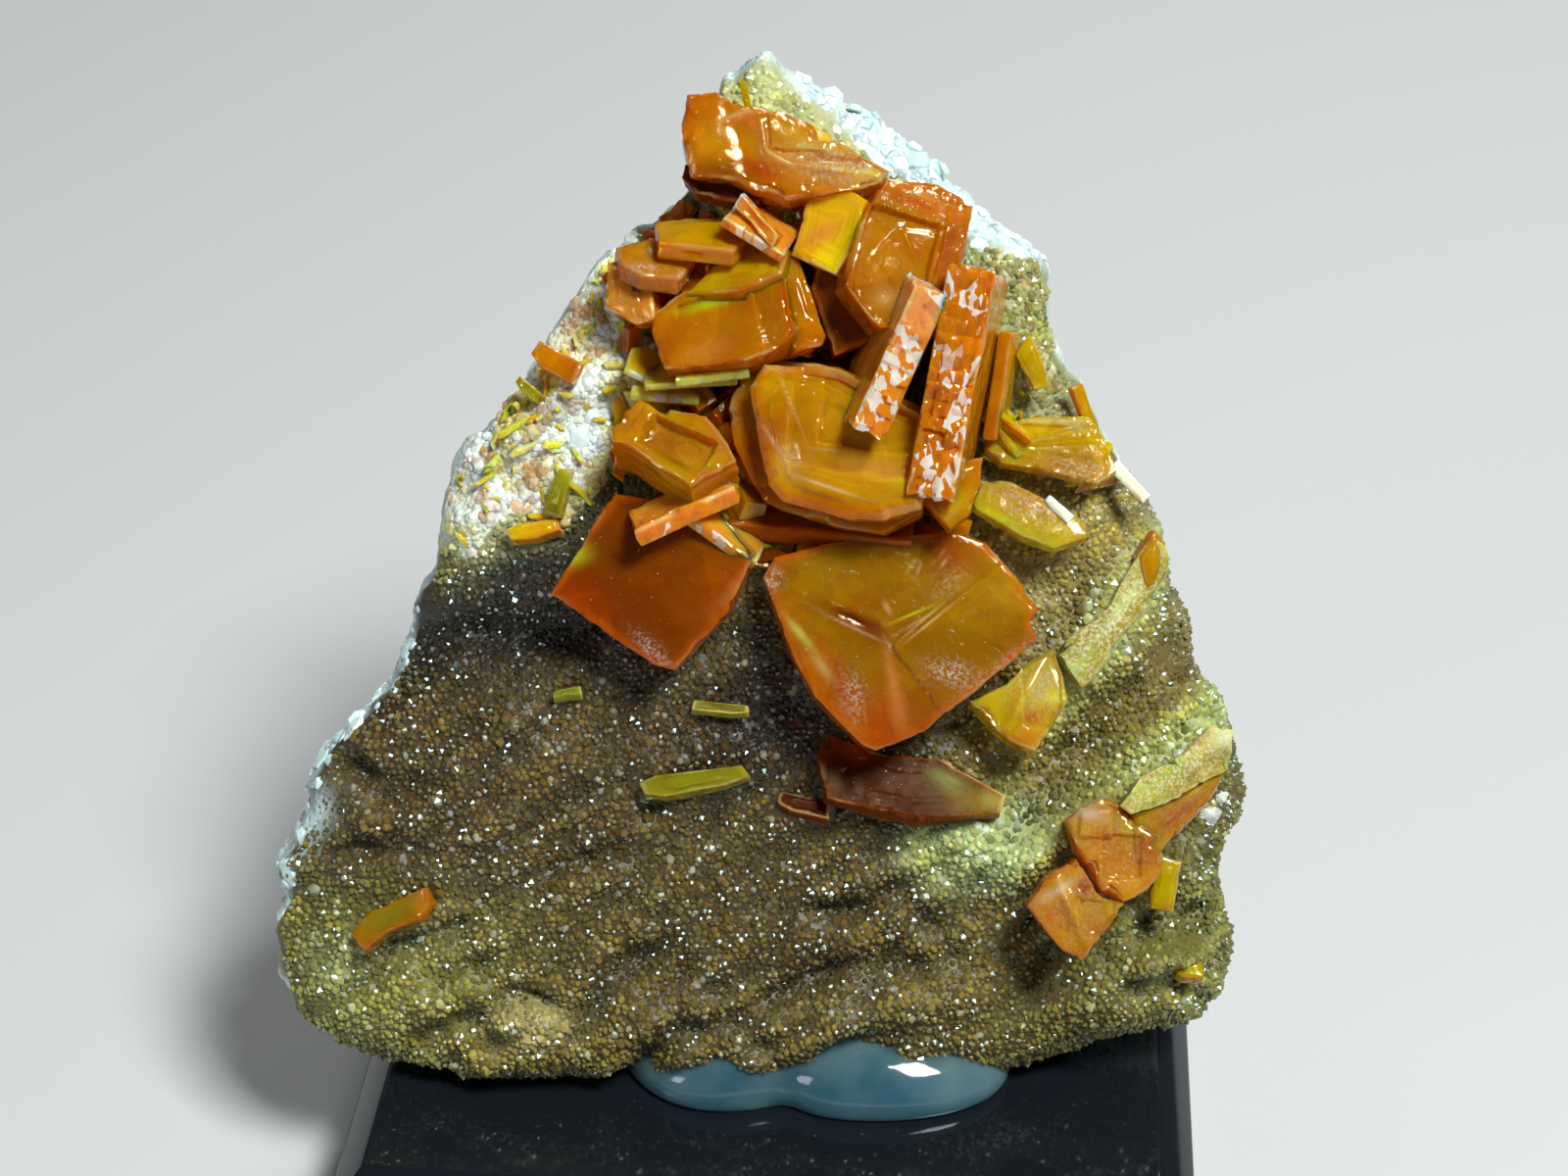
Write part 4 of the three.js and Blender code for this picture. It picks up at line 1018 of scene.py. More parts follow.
# What a crystal has beyond a plain tablet. A box is x, y, half length, half width, rise and soft
# width. A ridge is x, y, half length, half width, degrees and rise. A terrace is a share and a rise.
DETAILS = {
    "crown_mass": dict(
        step=0.16, face_rings=44, mosaic=0.08, waves=0.05, chips=0.12, bevel=0.16, steps=0,
        boxes=[(0.9, 0.7, 1.2, 0.8, 0.2, 0.14), (3.0, -1.0, 1.8, 0.7, -0.25, 0.3)],
        ridges=[(-2.7, 0.5, 1.4, 1.1, 80, 0.10), (-1.7, 0.7, 1.5, 0.22, -72, -0.05),
        (-0.5, 0.3, 0.9, 0.14, -80, 0.16), (2.4, -0.85, 2.2, 0.16, -7, 0.26),
        (0.0, -0.35, 0.6, 0.14, -31, 0.2), (-1.0, 1.4, 0.9, 0.16, 16, 0.14)],
    ),
    "upper_block": dict(
        step=0.17, face_rings=44, mosaic=0.06, waves=0.015, chips=0.10, bevel=0.10, steps=1,
        boxes=[(-0.5, -0.7, 1.5, 2.3, -0.36, 0.10), (1.7, 0.2, 0.5, 2.8, 0.10, 0.08)],
        ridges=[(-0.9, 0.5, 0.9, 0.10, 60, 0.05), (0.0, 0.4, 0.8, 0.10, -52, 0.05)],
    ),
    "bright_plate": dict(step=0.18, face_rings=18, mosaic=0.05, terraces=[(0.8, -0.08), (0.5, 0.06)]),
    "upper_shelf": dict(step=0.18, mosaic=0.05, layers=2),
    "lower_shelf": dict(step=0.16, mosaic=0.08, layers=2, chips=0.1),
    "shelf_end": dict(step=0.16, face_rings=14, mosaic=0.10, waves=0.10, chips=0.12),
    "fan_front": dict(
        step=0.18, face_rings=34, mosaic=0.05, steps=1,
        boxes=[(-0.4, 1.0, 1.5, 0.3, -0.22, 0.08), (2.2, 0.0, 0.7, 1.6, -0.12, 0.08)],
    ),
    "fan_back": dict(step=0.2, face_rings=14, waves=0.04),
    "fan_end": dict(step=0.18, face_rings=14, mosaic=0.05, terraces=[(0.6, 0.05)]),
    "middle_foot": dict(step=0.2, face_rings=12, layers=2, mosaic=0.04, waves=0.04, chips=0.10),
    "middle_head": dict(
        step=0.18, face_rings=44, layers=2, mosaic=0.04, waves=0.04, bevel=0.3, chips=0.08,
        boxes=[(0.7, 1.1, 2.7, 2.2, -0.30, 0.3), (1.1, 1.5, 2.0, 1.6, -0.30, 0.12)],
    ),
    "upright_left": dict(step=0.16, mosaic=0.16, layers=2, lift=0.10, chips=0.1),
    "upright_right": dict(
        step=0.16, face_rings=12, mosaic=0.2, layers=3, waves=0.05, lift=-0.12, chips=0.12,
    ),
    "stack": dict(
        step=0.17, face_rings=26, layers=3, waves=0.08, mosaic=0.06, chips=0.12,
        boxes=[(0.1, 0.0, 1.5, 0.75, -0.5, 0.15), (-1.7, 0.0, 0.3, 0.9, 0.12, 0.12)],
    ),
    "stack_blade": dict(step=0.16, face_rings=8, mosaic=0.12, chips=0.12),
    "left_square": dict(step=0.2, face_rings=30, waves=0.012, steps=1),
    "great_square": dict(
        step=0.2, face_rings=56, chips=0.08, steps=0,
        boxes=[(2.3, -2.4, 3.1, 1.9, 0.17, 0.09)], ridges=[(-1.9, -1.9, 1.8, 0.35, 63, 0.08),
        (-1.41, 1.45, 1.3, 0.16, -61, -0.035)],
    ),
    "amber_shelf": dict(
        step=0.16, face_rings=30, layers=2, mosaic=0.04, waves=0.01, chips=0.1, steps=1, bevel=0.06,
        boxes=[(0.3, 1.05, 1.7, 0.22, 0.14, 0.08)], ridges=[(-0.2, 0.5, 2.2, 0.07, 14, 0.08),
        (0.0, 0.1, 2.2, 0.07, 4, 0.08), (0.0, -0.4, 2.2, 0.08, -8, -0.07),
        (0.2, -0.8, 2.0, 0.07, -16, 0.07)],
    ),
    "upright_tip": dict(
        step=0.16, face_rings=14, mosaic=0.06, chips=0.1, layers=2,
        ridges=[(0.1, -0.6, 1.2, 0.25, 70, 0.2)],
    ),
    "amber_corner_tablet": dict(step=0.18, face_rings=14, waves=0.03, mosaic=0.05, chips=0.1),
    "reddish_tablet": dict(step=0.18, face_rings=20, waves=0.07, mosaic=0.08, chips=0.1),
    "bar_foot": dict(
        step=0.16, face_rings=26, mosaic=0.06, chips=0.12, bevel=0.1, steps=1,
        boxes=[(1.0, 0.2, 0.8, 1.6, -0.25, 0.12)], ridges=[(0.1, -0.3, 1.9, 0.3, 62, 0.3)],
    ),
    "bar_head": dict(step=0.16, face_rings=18, waves=0.16, mosaic=0.10, chips=0.2, steps=1),
    "corner_block": dict(
        step=0.16, face_rings=26, waves=0.03, mosaic=0.08, chips=0.14, bevel=0.12, steps=1,
        boxes=[(-0.9, 0.9, 0.7, 0.6, 0.25, 0.12), (0.3, -0.6, 0.8, 0.9, -0.22, 0.12),
        (1.4, 0.0, 0.5, 0.8, 0.16, 0.12)],
    ),
    "corner_wedge": dict(
        step=0.16, face_rings=18, waves=0.06, mosaic=0.08, chips=0.14, layers=2,
        ridges=[(0.2, 0.2, 1.6, 0.2, 38, 0.22)],
    ),
    "corner_tip": dict(
        step=0.16, face_rings=22, waves=0.03, mosaic=0.08, chips=0.14, steps=1,
        boxes=[(0.9, -0.6, 0.8, 0.8, -0.2, 0.15)], ridges=[(-0.2, -0.4, 1.8, 0.25, -64, 0.25)],
    ),
    "corner_crust": dict(step=0.16, face_rings=16, waves=0.18, mosaic=0.10, chips=0.2, steps=1),
}


def seed_of(name):
    """A crystal's own random seed: the sum of its name's letters, each by its place."""
    return sum(place * ord(letter) for place, letter in enumerate(name, 1))


AMBER_GLOW, YELLOW, LIME = (214, 150, 16), (232, 196, 20), (206, 214, 40)
# The rose colour paints a pink sheen where faces and ridges catch the light, and in a groove of the crown
# also pink dust. The cream colour paints glints along ridges and scratches.
RED, BLOOD, ROSE, CREAM, DUST = (200, 74, 4), (116, 38, 6), (228, 150, 70), (244, 206, 140), None
PATCHES = {  # x, y, half length, half width, degrees, strength, colour, or None for pale dust
    "great_square": [
        (4.1, -1.4, 1.8, 1.2, 0, 0.6, (206, 152, 18)), (0.6, 2.6, 2.4, 1.2, -49, 0.5, (186, 132, 14)),
        (3.6, 1.3, 1.1, 0.6, -70, 0.6, RED), (-3.6, 0.0, 2.6, 0.7, 90, 0.7, RED),
        (-3.2, -3.0, 1.6, 1.0, 40, 0.7, RED), (-1.0, -3.0, 2.2, 1.0, 0, 0.5, (178, 84, 6)),
        (-1.0, 1.9, 1.4, 0.3, -61, 0.5, AMBER_GLOW), (-1.41, 1.45, 1.1, 0.24, -61, 1.0, (120, 38, 6)),
        (-0.9, 0.5, 0.5, 0.3, -61, 0.8, (150, 70, 24)),
        # A pale line along the crack's lower edge: a painted glint.
        (-1.68, 1.2, 1.1, 0.05, -62, 0.9, (240, 206, 180)),
        (0.61, 0.10, 0.8, 0.05, -14, 1.0, (230, 236, 40)), (-1.75, -1.86, 1.5, 0.28, 63, 0.8, ROSE),
        (-2.3, -3.0, 0.8, 0.5, 63, 0.6, ROSE), (0.77, -0.42, 1.0, 0.045, 4, 0.9, CREAM),
        (0.57, -0.3, 0.8, 0.04, -6, 0.8, CREAM), (0.97, -0.67, 1.0, 0.045, 2, 0.9, CREAM),
        (3.16, 1.37, 0.32, 0.04, 16, 0.9, CREAM), (3.2, 1.06, 0.33, 0.04, 23, 0.9, CREAM),
        (2.04, 1.42, 0.3, 0.04, 32, 0.8, CREAM), (1.97, 1.74, 0.3, 0.04, 17, 0.8, CREAM),
        (0.03, 0.91, 0.3, 0.12, 83, 0.6, CREAM), (-3.6, 2.3, 0.9, 0.16, -86, 0.9, (206, 206, 90)),
        (-3.69, 0.5, 0.7, 0.22, -87, 0.7, (196, 180, 100)), (-3.2, 4.8, 0.5, 0.35, 20, 0.9, DUST),
        (-3.4, -1.2, 1.0, 0.5, 60, 0.6, DUST), (0.5, -2.85, 0.9, 0.5, -51, 1.0, DUST),
        (2.6, -3.9, 2.4, 0.25, 0, 0.4, DUST), (2.8, 0.2, 0.9, 0.5, 0, 0.3, DUST),
    ],
    "left_square": [
        (-3.3, -1.4, 0.7, 0.4, 60, 1.0, LIME), (1.6, -2.8, 0.9, 0.3, -10, 0.8, DUST),
        (2.4, 1.0, 1.4, 2.0, 0, 0.55, (206, 118, 8)), (-2.2, -2.8, 1.6, 1.0, 0, 0.6, RED),
        (3.1, 1.6, 1.5, 0.3, 80, 0.6, ROSE),
    ],
    "middle_head": [
        (0.5, 0.9, 2.2, 1.8, 0, 0.5, (208, 140, 24)), (2.0, -0.9, 1.8, 0.5, 0, 0.55, ROSE),
        (0.2, -2.8, 3.0, 0.5, 0, 0.6, (214, 112, 8)), (-2.9, -0.3, 1.8, 0.5, 80, 0.6, (206, 92, 8)),
        (2.9, -1.3, 0.6, 0.25, 20, 0.8, YELLOW), (-1.8, -1.3, 0.8, 0.6, 0, 0.5, (240, 176, 60)),
        (-3.9, 1.86, 1.2, 0.06, -73, 0.8, CREAM), (-2.7, -0.32, 1.4, 0.07, -51, 0.9, CREAM),
        (-0.4, -1.85, 1.4, 0.07, -11, 1.0, CREAM), (-2.16, 1.32, 1.7, 0.04, -61, 0.8, CREAM),
        (-0.4, -0.34, 0.9, 0.04, 1, 0.7, CREAM), (-0.57, -2.25, 1.2, 0.16, -9, 0.5, (150, 100, 20)),
        (-1.9, -0.8, 0.6, 0.4, -51, 0.6, DUST),
    ],
    "upper_block": [
        (-0.8, -0.6, 1.0, 1.6, 0, 0.7, AMBER_GLOW), (1.5, 0.6, 0.4, 2.2, 0, 0.7, (196, 84, 20)),
        (-0.2, 2.7, 1.8, 0.4, -6, 0.6, ROSE), (-2.3, 0.6, 0.4, 1.6, 0, 0.5, ROSE),
        (-0.5, -1.9, 0.5, 0.4, 0, 0.7, (240, 196, 120)), (-0.2, 2.2, 1.5, 0.25, -6, 0.7, (206, 88, 6)),
    ],
    "fan_front": [
        (-2.6, -0.2, 1.2, 1.0, 90, 0.5, (190, 88, 4)), (-0.8, -1.0, 0.9, 0.35, 10, 0.6, ROSE),
        (0.8, -0.6, 1.8, 0.9, 0, 0.5, (206, 138, 14)), (-0.4, 1.0, 1.3, 0.25, 0, 1.0, (214, 206, 24)),
    ],
    "stack": [
        (-2.2, -0.4, 0.6, 0.9, 0, 0.6, (214, 112, 20)), (0.0, 0.0, 1.4, 0.6, 0, 0.6, (196, 120, 30)),
        (1.7, 0.9, 0.8, 0.4, -30, 0.6, ROSE), (0.2, -1.5, 1.6, 0.3, -4, 0.7, YELLOW),
        (0.5, -0.8, 1.0, 0.25, 0, 0.6, BLOOD),
    ],
    "crown_mass": [
        (-2.9, 0.3, 0.8, 1.0, 0, 0.6, AMBER_GLOW), (-3.3, 1.8, 0.9, 0.6, 0, 0.5, (190, 84, 4)),
        (-0.6, -0.9, 0.9, 0.5, -20, 0.9, (206, 74, 2)), (0.7, 0.7, 1.1, 0.5, -16, 0.6, (206, 144, 6)),
        (2.2, 0.0, 0.8, 0.25, -8, 0.8, (220, 190, 40)), (2.4, -0.85, 2.1, 0.22, -7, 0.7, ROSE),
        (-1.2, 1.3, 0.8, 0.2, 18, 0.7, ROSE), (-0.5, 0.4, 0.2, 0.8, 0, 0.6, ROSE),
        (3.2, -1.4, 1.2, 0.4, 0, 0.5, (206, 140, 10)), (1.2, 0.1, 0.3, 0.2, 0, 0.9, (230, 220, 120)),
        (-2.2, -0.9, 1.4, 0.4, -6, 0.5, BLOOD), (3.9, -0.9, 0.5, 0.2, -30, 0.8, (214, 206, 90)),
        (2.4, 0.1, 1.8, 0.6, -10, 0.6, (236, 190, 24)), (0.9, 1.0, 1.4, 0.5, -16, 0.5, (224, 164, 12)),
        (-3.4, -1.6, 0.9, 0.6, 0, 0.6, (190, 78, 4)), (3.2, -1.0, 1.4, 0.35, -10, 0.7, (236, 212, 90)),
        (2.6, -0.6, 1.8, 0.7, -8, 0.9, DUST), (-0.9, 0.9, 0.9, 0.12, -60, 0.7, ROSE),
        (-1.4, 1.5, 0.8, 0.1, 20, 0.8, CREAM), (0.2, -0.5, 0.7, 0.1, -30, 0.9, CREAM),
    ],
    "left_flake": [(-0.2, 0.1, 1.5, 0.6, 0, 0.8, (156, 156, 36)), (1.6, 0.2, 0.4, 0.4, 0, 0.5, ROSE)],
    "bright_plate": [(-0.3, -0.2, 0.7, 0.35, 30, 0.7, ROSE), (0.2, 1.2, 0.8, 0.5, 0, 0.4, YELLOW)],
    "reddish_tablet": [
        (3.0, -0.1, 1.3, 0.7, -8, 0.9, (124, 96, 12)), (1.7, 0.6, 0.8, 0.35, -10, 0.9, (124, 136, 66)),
        (4.0, 0.1, 0.7, 0.4, 0, 0.7, (156, 140, 50)), (-2.4, 1.0, 1.0, 0.5, 0, 0.9, (116, 46, 3)),
        (-3.1, -0.4, 0.3, 0.4, 0, 0.7, (124, 108, 66)), (3.2, 0.9, 1.5, 0.14, -24, 0.8, (160, 84, 8)),
    ],
    "bar_foot": [
        (-1.0, 0.0, 1.0, 0.5, 50, 0.7, (236, 206, 20)), (1.2, 0.6, 0.8, 0.6, 60, 0.7, (222, 196, 110)),
        (0.6, -1.0, 0.5, 0.35, 0, 0.8, (196, 76, 20)), (1.6, -0.1, 0.4, 0.3, 0, 1.0, (250, 226, 20)),
        (0.4, -1.9, 0.7, 0.4, 0, 0.7, (220, 120, 8)), (0.9, 0.4, 1.3, 1.6, 60, 0.5, DUST),
    ],
    "bar_head": [
        (0.8, 0.8, 2.4, 0.2, 52, 0.7, (176, 200, 140)), (-1.6, -2.4, 1.4, 0.3, 52, 0.7, (160, 176, 90)),
        (1.6, 2.4, 1.4, 0.3, 52, 0.7, (176, 176, 70)), (2.0, 3.0, 0.6, 0.4, 60, 0.7, (196, 140, 30)),
        (0.0, 0.0, 4.0, 1.5, 52, 0.6, DUST),
    ],
    # Pale near the top: painted glints on the prism's face.
    "upright_left": [(0.0, 2.4, 3.0, 1.3, 0, 0.55, (236, 200, 160))],
    "corner_wedge": [
        (0.0, -0.2, 1.4, 0.6, 38, 0.7, (186, 70, 30)), (0.6, 0.6, 1.2, 0.2, 38, 0.6, (206, 170, 60)),
        (0.0, 0.0, 2.0, 1.5, 38, 0.2, DUST),
    ],
    "upright_tip": [(0.4, -0.7, 0.8, 0.4, 40, 0.7, YELLOW), (-0.6, 0.2, 0.7, 0.7, 0, 0.6, (206, 96, 6))],
    "corner_crust": [
        (0.0, -0.1, 2.4, 0.3, 34, 0.6, (160, 176, 70)), (1.4, 0.9, 0.5, 0.3, 34, 0.8, (206, 186, 30)),
        (2.0, 1.2, 0.7, 0.5, 34, 0.8, (206, 220, 176)), (0.0, 0.0, 3.0, 1.2, 34, 0.6, DUST),
    ],
    "amber_corner_tablet": [
        (-1.5, -0.3, 1.2, 0.22, -26, 1.0, (226, 232, 30)),
        (0.3, -1.35, 1.4, 0.22, -20, 0.9, (206, 206, 40)),
        (-0.4, 0.5, 1.8, 0.5, -26, 0.6, (206, 136, 12)), (0.4, 0.0, 2.2, 0.8, -26, 0.7, DUST),
    ],
    "amber_shelf": [
        (-0.9, 0.7, 1.9, 0.4, -4, 0.8, (240, 206, 10)), (0.4, -0.9, 2.2, 0.5, -14, 0.7, (196, 128, 16)),
        (0.4, 1.05, 1.5, 0.09, 0, 0.9, (240, 232, 170)), (1.0, 0.8, 0.4, 0.09, 0, 0.9, (240, 236, 200)),
        (-0.4, 0.3, 1.9, 0.06, 12, 0.8, (244, 226, 90)), (0.0, -0.1, 1.9, 0.06, 2, 0.7, (240, 214, 60)),
        (1.2, -1.1, 1.6, 0.5, -14, 0.6, DUST),
    ],
    "corner_block": [
        # The first mark is a painted highlight on the block's top corner.
        (-1.2, 1.3, 0.7, 0.35, -10, 0.8, (240, 214, 190)), (0.0, -1.0, 1.2, 0.9, 0, 0.5, (230, 140, 16)),
        (1.5, 0.0, 0.5, 0.9, 0, 0.7, (196, 70, 30)), (-0.6, 0.2, 0.8, 0.5, 0, 0.5, (216, 110, 10)),
        (0.0, 0.0, 2.2, 2.2, 0, 0.25, DUST),
    ],
    "corner_tip": [
        (0.3, 0.7, 0.4, 0.4, 0, 0.8, (190, 50, 40)), (-1.2, -0.4, 0.8, 0.8, 0, 0.6, (210, 110, 30)),
        (0.9, -0.9, 0.6, 0.6, 0, 0.5, (230, 160, 60)), (-0.8, 0.6, 0.9, 0.2, 30, 0.7, (236, 210, 180)),
        (0.0, 0.0, 2.0, 2.0, 0, 0.25, DUST),
    ],
    "lower_shelf": [(-0.6, -1.0, 0.6, 0.25, 0, 0.9, DUST), (1.2, -1.2, 0.4, 0.25, 0, 0.7, DUST)],
}
EDGE_GLINT = (250, 214, 150)


def node_crystals(node):
    """All tablets of a node in one mesh: points, faces, what is painted at the points, and the finish
    of each face. A tint goes from body to rim, then towards each patch by its bell, then pale along
    the edge as a painted glint."""
    points, tints, glitter, dust, start = [], [], [], [], 0
    faces, finish_of_face = [[], [], []], [[], [], []]
    for owner, name, middle, size, turns, look in TABLETS:
        if owner != node:
            continue
        name = name or node
        shape, rim, glint, rings = tablet(size, seed_of(name), CORNERS.get(name), **DETAILS.get(name, {}))
        body, edge, finish, shine = LOOKS[look]
        rim, glint = np.clip(rim, 0, 1)[:, None], (0.2 + 0.45 * shine) * glint[:, None]
        tint = paint(*body) * (1 - rim) + paint(*edge) * rim
        dusty = np.zeros(len(shape))
        for at_x, at_y, length, width, degrees, strength, colour in PATCHES.get(name, ()):
            share = strength * bell(shape[:, 0] - at_x, shape[:, 1] - at_y, length, width, degrees)
            if colour is DUST:
                dusty += share
            else:
                tint = tint * (1 - share[:, None]) + paint(*colour) * share[:, None]
        dust.append(np.clip(dusty, 0, 1))
        tints.append(tint * (1 - glint) + paint(*EDGE_GLINT) * glint)
        glitter.append(shine * (0.08 + 1.08 * rim[:, 0]))
        points.append(placed(shape, middle, turns))
        for group, part in enumerate(skin_faces(rings, (len(shape) - 2) // rings)):
            faces[group].append(part + start)
            finish_of_face[group].append(np.full(len(part), finish))
        start += len(shape)
    faces = [np.concatenate(group) for group in faces]
    finish_of_face = np.concatenate([np.concatenate(group) for group in finish_of_face])
    painted = {"tint": tints, "glitter": glitter, "dust": dust}
    painted = {title: np.concatenate(values) for title, values in painted.items()}
    return np.concatenate(points), faces, painted, finish_of_face


for node in dict.fromkeys(row[0] for row in TABLETS):
    points, faces, painted, finish_of_face = node_crystals(node)
    name = node.replace("_cluster", "") + "_crystal"
    piece = make_piece(name, to_base(points), faces, FINISHES, painted, finish_of_face)
    piece.data.set_sharp_from_angle(angle=np.radians(32))
    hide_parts(node)

# %% [markdown]
# ## Where things can lie
# Small things are laid on the face by rule: at a height and a slope worked out from the same formulas
# as the rock's, and only where no crystal stands. An even lattice would show as rows, and free random
# places as clumps and gaps, so a lattice is used whose points are each moved a little.

# %% The finished face
ROW_STEP = 0.866  # height of a triangle with even sides


def reach_at(u, v):
    """Share of the way from the hub to the rim: the distance over the rim's in that direction."""
    edge = closed_curve(OUTLINE, 3000)
    out = edge - HUB
    rim = np.hypot(*out.T) - bare_width(*edge.T)
    direction = np.arctan2(v - HUB[1], u - HUB[0])
    rim = np.interp(direction, np.arctan2(out[:, 1], out[:, 0]), rim, period=2 * np.pi)
    return np.hypot(u - HUB[0], v - HUB[1]) / rim


def face_level(u, v):
    """Height of the finished face, with its small relief."""
    reach = reach_at(u, v)
    return face_height(u, v, reach) + small_relief(u, v) * (1 - reach**12)


def unit(vectors):
    """Vectors brought to length 1."""
    return vectors / np.linalg.norm(vectors, axis=1)[:, None]


def face_normal(u, v, step=0.1):
    """Across the slope: minus the height's change in u and in v, and 1, brought to length 1."""
    across = (face_level(u + step, v) - face_level(u - step, v)) / (2 * step)
    up = (face_level(u, v + step) - face_level(u, v - step)) / (2 * step)
    return unit(np.stack([-across, -up, np.ones(len(u))], -1))


def face_lattice(spacing, draw, jitter=0.32):
    """A triangular lattice over the slab, each point moved by a random share of the spacing."""
    low, high = OUTLINE.min(0) - 1, OUTLINE.max(0) + 1
    rows = np.arange(low[1], high[1], spacing * ROW_STEP)
    columns = np.arange(low[0], high[0], spacing)
    u, v = np.meshgrid(columns, rows)
    u = u + spacing / 2 * (np.arange(len(rows)) % 2)[:, None]
    u = u + spacing * draw.uniform(-jitter, jitter, u.shape)
    v = v + spacing * draw.uniform(-jitter, jitter, v.shape)
    return u.ravel(), v.ravel()


def above_floor(places):
    """Whether places on the slab stand clear of the base."""
    lean = np.radians(LEAN)
    level = places[:, 1] * np.cos(lean) + places[:, 2] * np.sin(lean)
    return level > BASE_HEIGHT + FLOOR_GAP - FOOT[2] + 0.1


def inside_a_crystal(points, margin=0.1):
    """Whether a point lies in any tablet: turned back to the tablet's own frame, within half its
    thickness plus a margin, and within its outline or its half sizes plus the margin."""
    found = np.zeros(len(points), bool)
    for node, name, middle, size, turns, _ in TABLETS:
        own = placed(np.eye(3), [0, 0, 0], turns).T
        local = (points - np.array(middle)) @ own
        within = np.abs(local) < np.array(size) / 2 + margin
        outline = CORNERS.get(name or node)
        if outline is None:
            found |= within.all(1)
        else:
            found |= within[:, 2] & inside(*local[:, :2].T, np.array(outline) * (1 + margin))
    return found


print("the face rises", float(face_level(*HUB[:, None])[0].round(2)), "mm at the hub")

# %% [markdown]
# ## Many small shapes in one mesh
# Grains, crumbs and splinters are all the same thing: one simple shape, stretched, turned and moved
# many thousand times. An object for each would be slow, so the points of all of them are worked out
# at once as one array, and they make one mesh.

# %% Many small shapes
def spun_frames(normals, draw):
    """A frame on each normal, turned about it at random: a side, the way across both, the normal."""
    side = unit(np.cross(normals, draw.normal(size=normals.shape)))
    return np.stack([side, np.cross(normals, side), normals], -1)


def stood(shapes, frames, places):
    """Each shape's points turned by its own frame and moved to its own place."""
    return places[:, None] + np.einsum("gij,gpj->gpi", frames, shapes)


def join_shapes(name, points, sides, finish, painted, node):
    """One flat-shaded mesh of many shapes of two rings each, painted shape by shape."""
    count, each = points.shape[:2]
    starts = np.arange(count)[:, None, None] * each
    faces = [(group[None] + starts).reshape(-1, group.shape[1]) for group in skin_faces(2, sides)]
    painted = {title: np.repeat(values, each, 0) for title, values in painted.items()}
    piece = make_piece(name, to_base(points.reshape(-1, 3)), faces, [finish], painted, smooth=False)
    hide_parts(node)


SIDES = 6


def grains(name, places, normals, radii, tints, draw, finish=DRUSE, tall=1.5):
    """Six-sided domes: rings of 1 and 0.74 radii at heights -0.5 and 0.12, a tip at 0.52 and a pole
    below, times tall above. Normals are tipped at random, and each grain is stretched its own way."""
    angle = np.arange(SIDES) / SIDES * 2 * np.pi
    circle = np.column_stack([np.cos(angle), np.sin(angle), np.zeros(SIDES)])
    rings = [circle * 0.74 + [0, 0, 0.12 * tall], circle + [0, 0, -0.5]]
    shape = closed(rings, [0, 0, 0.52 * tall], [0, 0, -0.6])
    frames = spun_frames(unit(normals + draw.normal(0, 0.22, normals.shape)), draw)
    spans = ((0.85, 1.25), (0.8, 1.1), (0.8, 1.3))
    stretch = np.stack([draw.uniform(low, high, len(radii)) for low, high in spans], -1)
    points = stood(shape[None] * (stretch * radii[:, None])[:, None], frames, places)
    join_shapes(name, points, SIDES, finish, {"tint": tints}, "matrix")


print("a grain has", sum(len(group) for group in skin_faces(2, SIDES)), "faces")

# %% [markdown]
# ## The druse
# The rock glitters because thousands of tiny quartz points cover it. A bump in the finish would
# glitter too, but would lie flat where the light grazes it. So each point is a real six-sided dome of
# a few flat faces, tipped a little its own way. Its tint comes from the zones of the druse, with
# painted shade in the hollows and painted light on the rises.

# %% Grains on the face
SPACING, DIM = 0.31, 0.66  # DIM makes up for the light that grains send each other


def hollow_shade(u, v, away=1.1):
    """Painted shade in hollows and painted light on rises: 1 plus the height less its mean at eight places
    round about.
    """
    angle = np.arange(8) / 8 * 2 * np.pi
    mean = sum(face_level(u + away * np.cos(a), v + away * np.sin(a)) for a in angle) / 8
    return np.clip(1 + 1.3 * (face_level(u, v) - mean), 0.35, 1.25)[:, None]


def grain_tints(u, v, draw):
    """The zone's colour, painted darker as shade in hollows and lighter on rises, warmer low in the
    middle, each grain lighter or darker by up to a third, and some clear and pale, which also serve
    as painted sparkle."""
    tint = DIM * zoned(u, v, DRUSE_ZONES, DRUSE_GROUND)
    tint = tint * draw.uniform(0.55, 1.3, (len(u), 1)) * hollow_shade(u, v)
    warm = ramp(20 - v, 8)[:, None] * ramp(12 - u, 4)[:, None] * ramp(u + 17, 4)[:, None]
    tint = tint * (np.array([1.0, 0.98, 0.76]) * (1 - warm) + np.array([1.08, 0.95, 0.74]) * warm)
    # A few grains painted pale: clear quartz, and painted sparkle as well.
    pale = (draw.random(len(u)) < 0.04)[:, None] * 0.25
    return np.clip(tint * (1 - pale) + paint(214, 222, 214) * pale, 0, 1)


draw = np.random.default_rng(7)
u, v = face_lattice(SPACING, draw)
keep = (reach_at(u, v) < 0.995) & (draw.random(len(u)) > 0.03)
u, v = u[keep], v[keep]
places = np.stack([u, v, face_level(u, v)], -1)
on_rind = inside(u + 0.3 * rough(u, v, 1.0, 2, 3), v, RIND)
keep = ~inside_a_crystal(places) & ~on_rind & above_floor(places)
u, v, places = u[keep], v[keep], places[keep]
normals = face_normal(u, v)
tints = grain_tints(u, v, draw)
radii = SPACING * (0.60 + 0.14 * ramp(tints.mean(1) - 0.25, 0.2)) * np.exp(draw.normal(0, 0.18, len(u)))
print("grains on the face:", len(u))

# %% [markdown]
# ## Grains over the edge, and the knobby rim
# Along the foot and low on the right the same grains go on over the broken edge, so the slab does not
# look cut. At the upper right and the left the edge is milky quartz, which breaks into low knobs:
# there the grains are larger, flatter and white. Places are drawn from the quads of the slab's own
# rings, by their area.

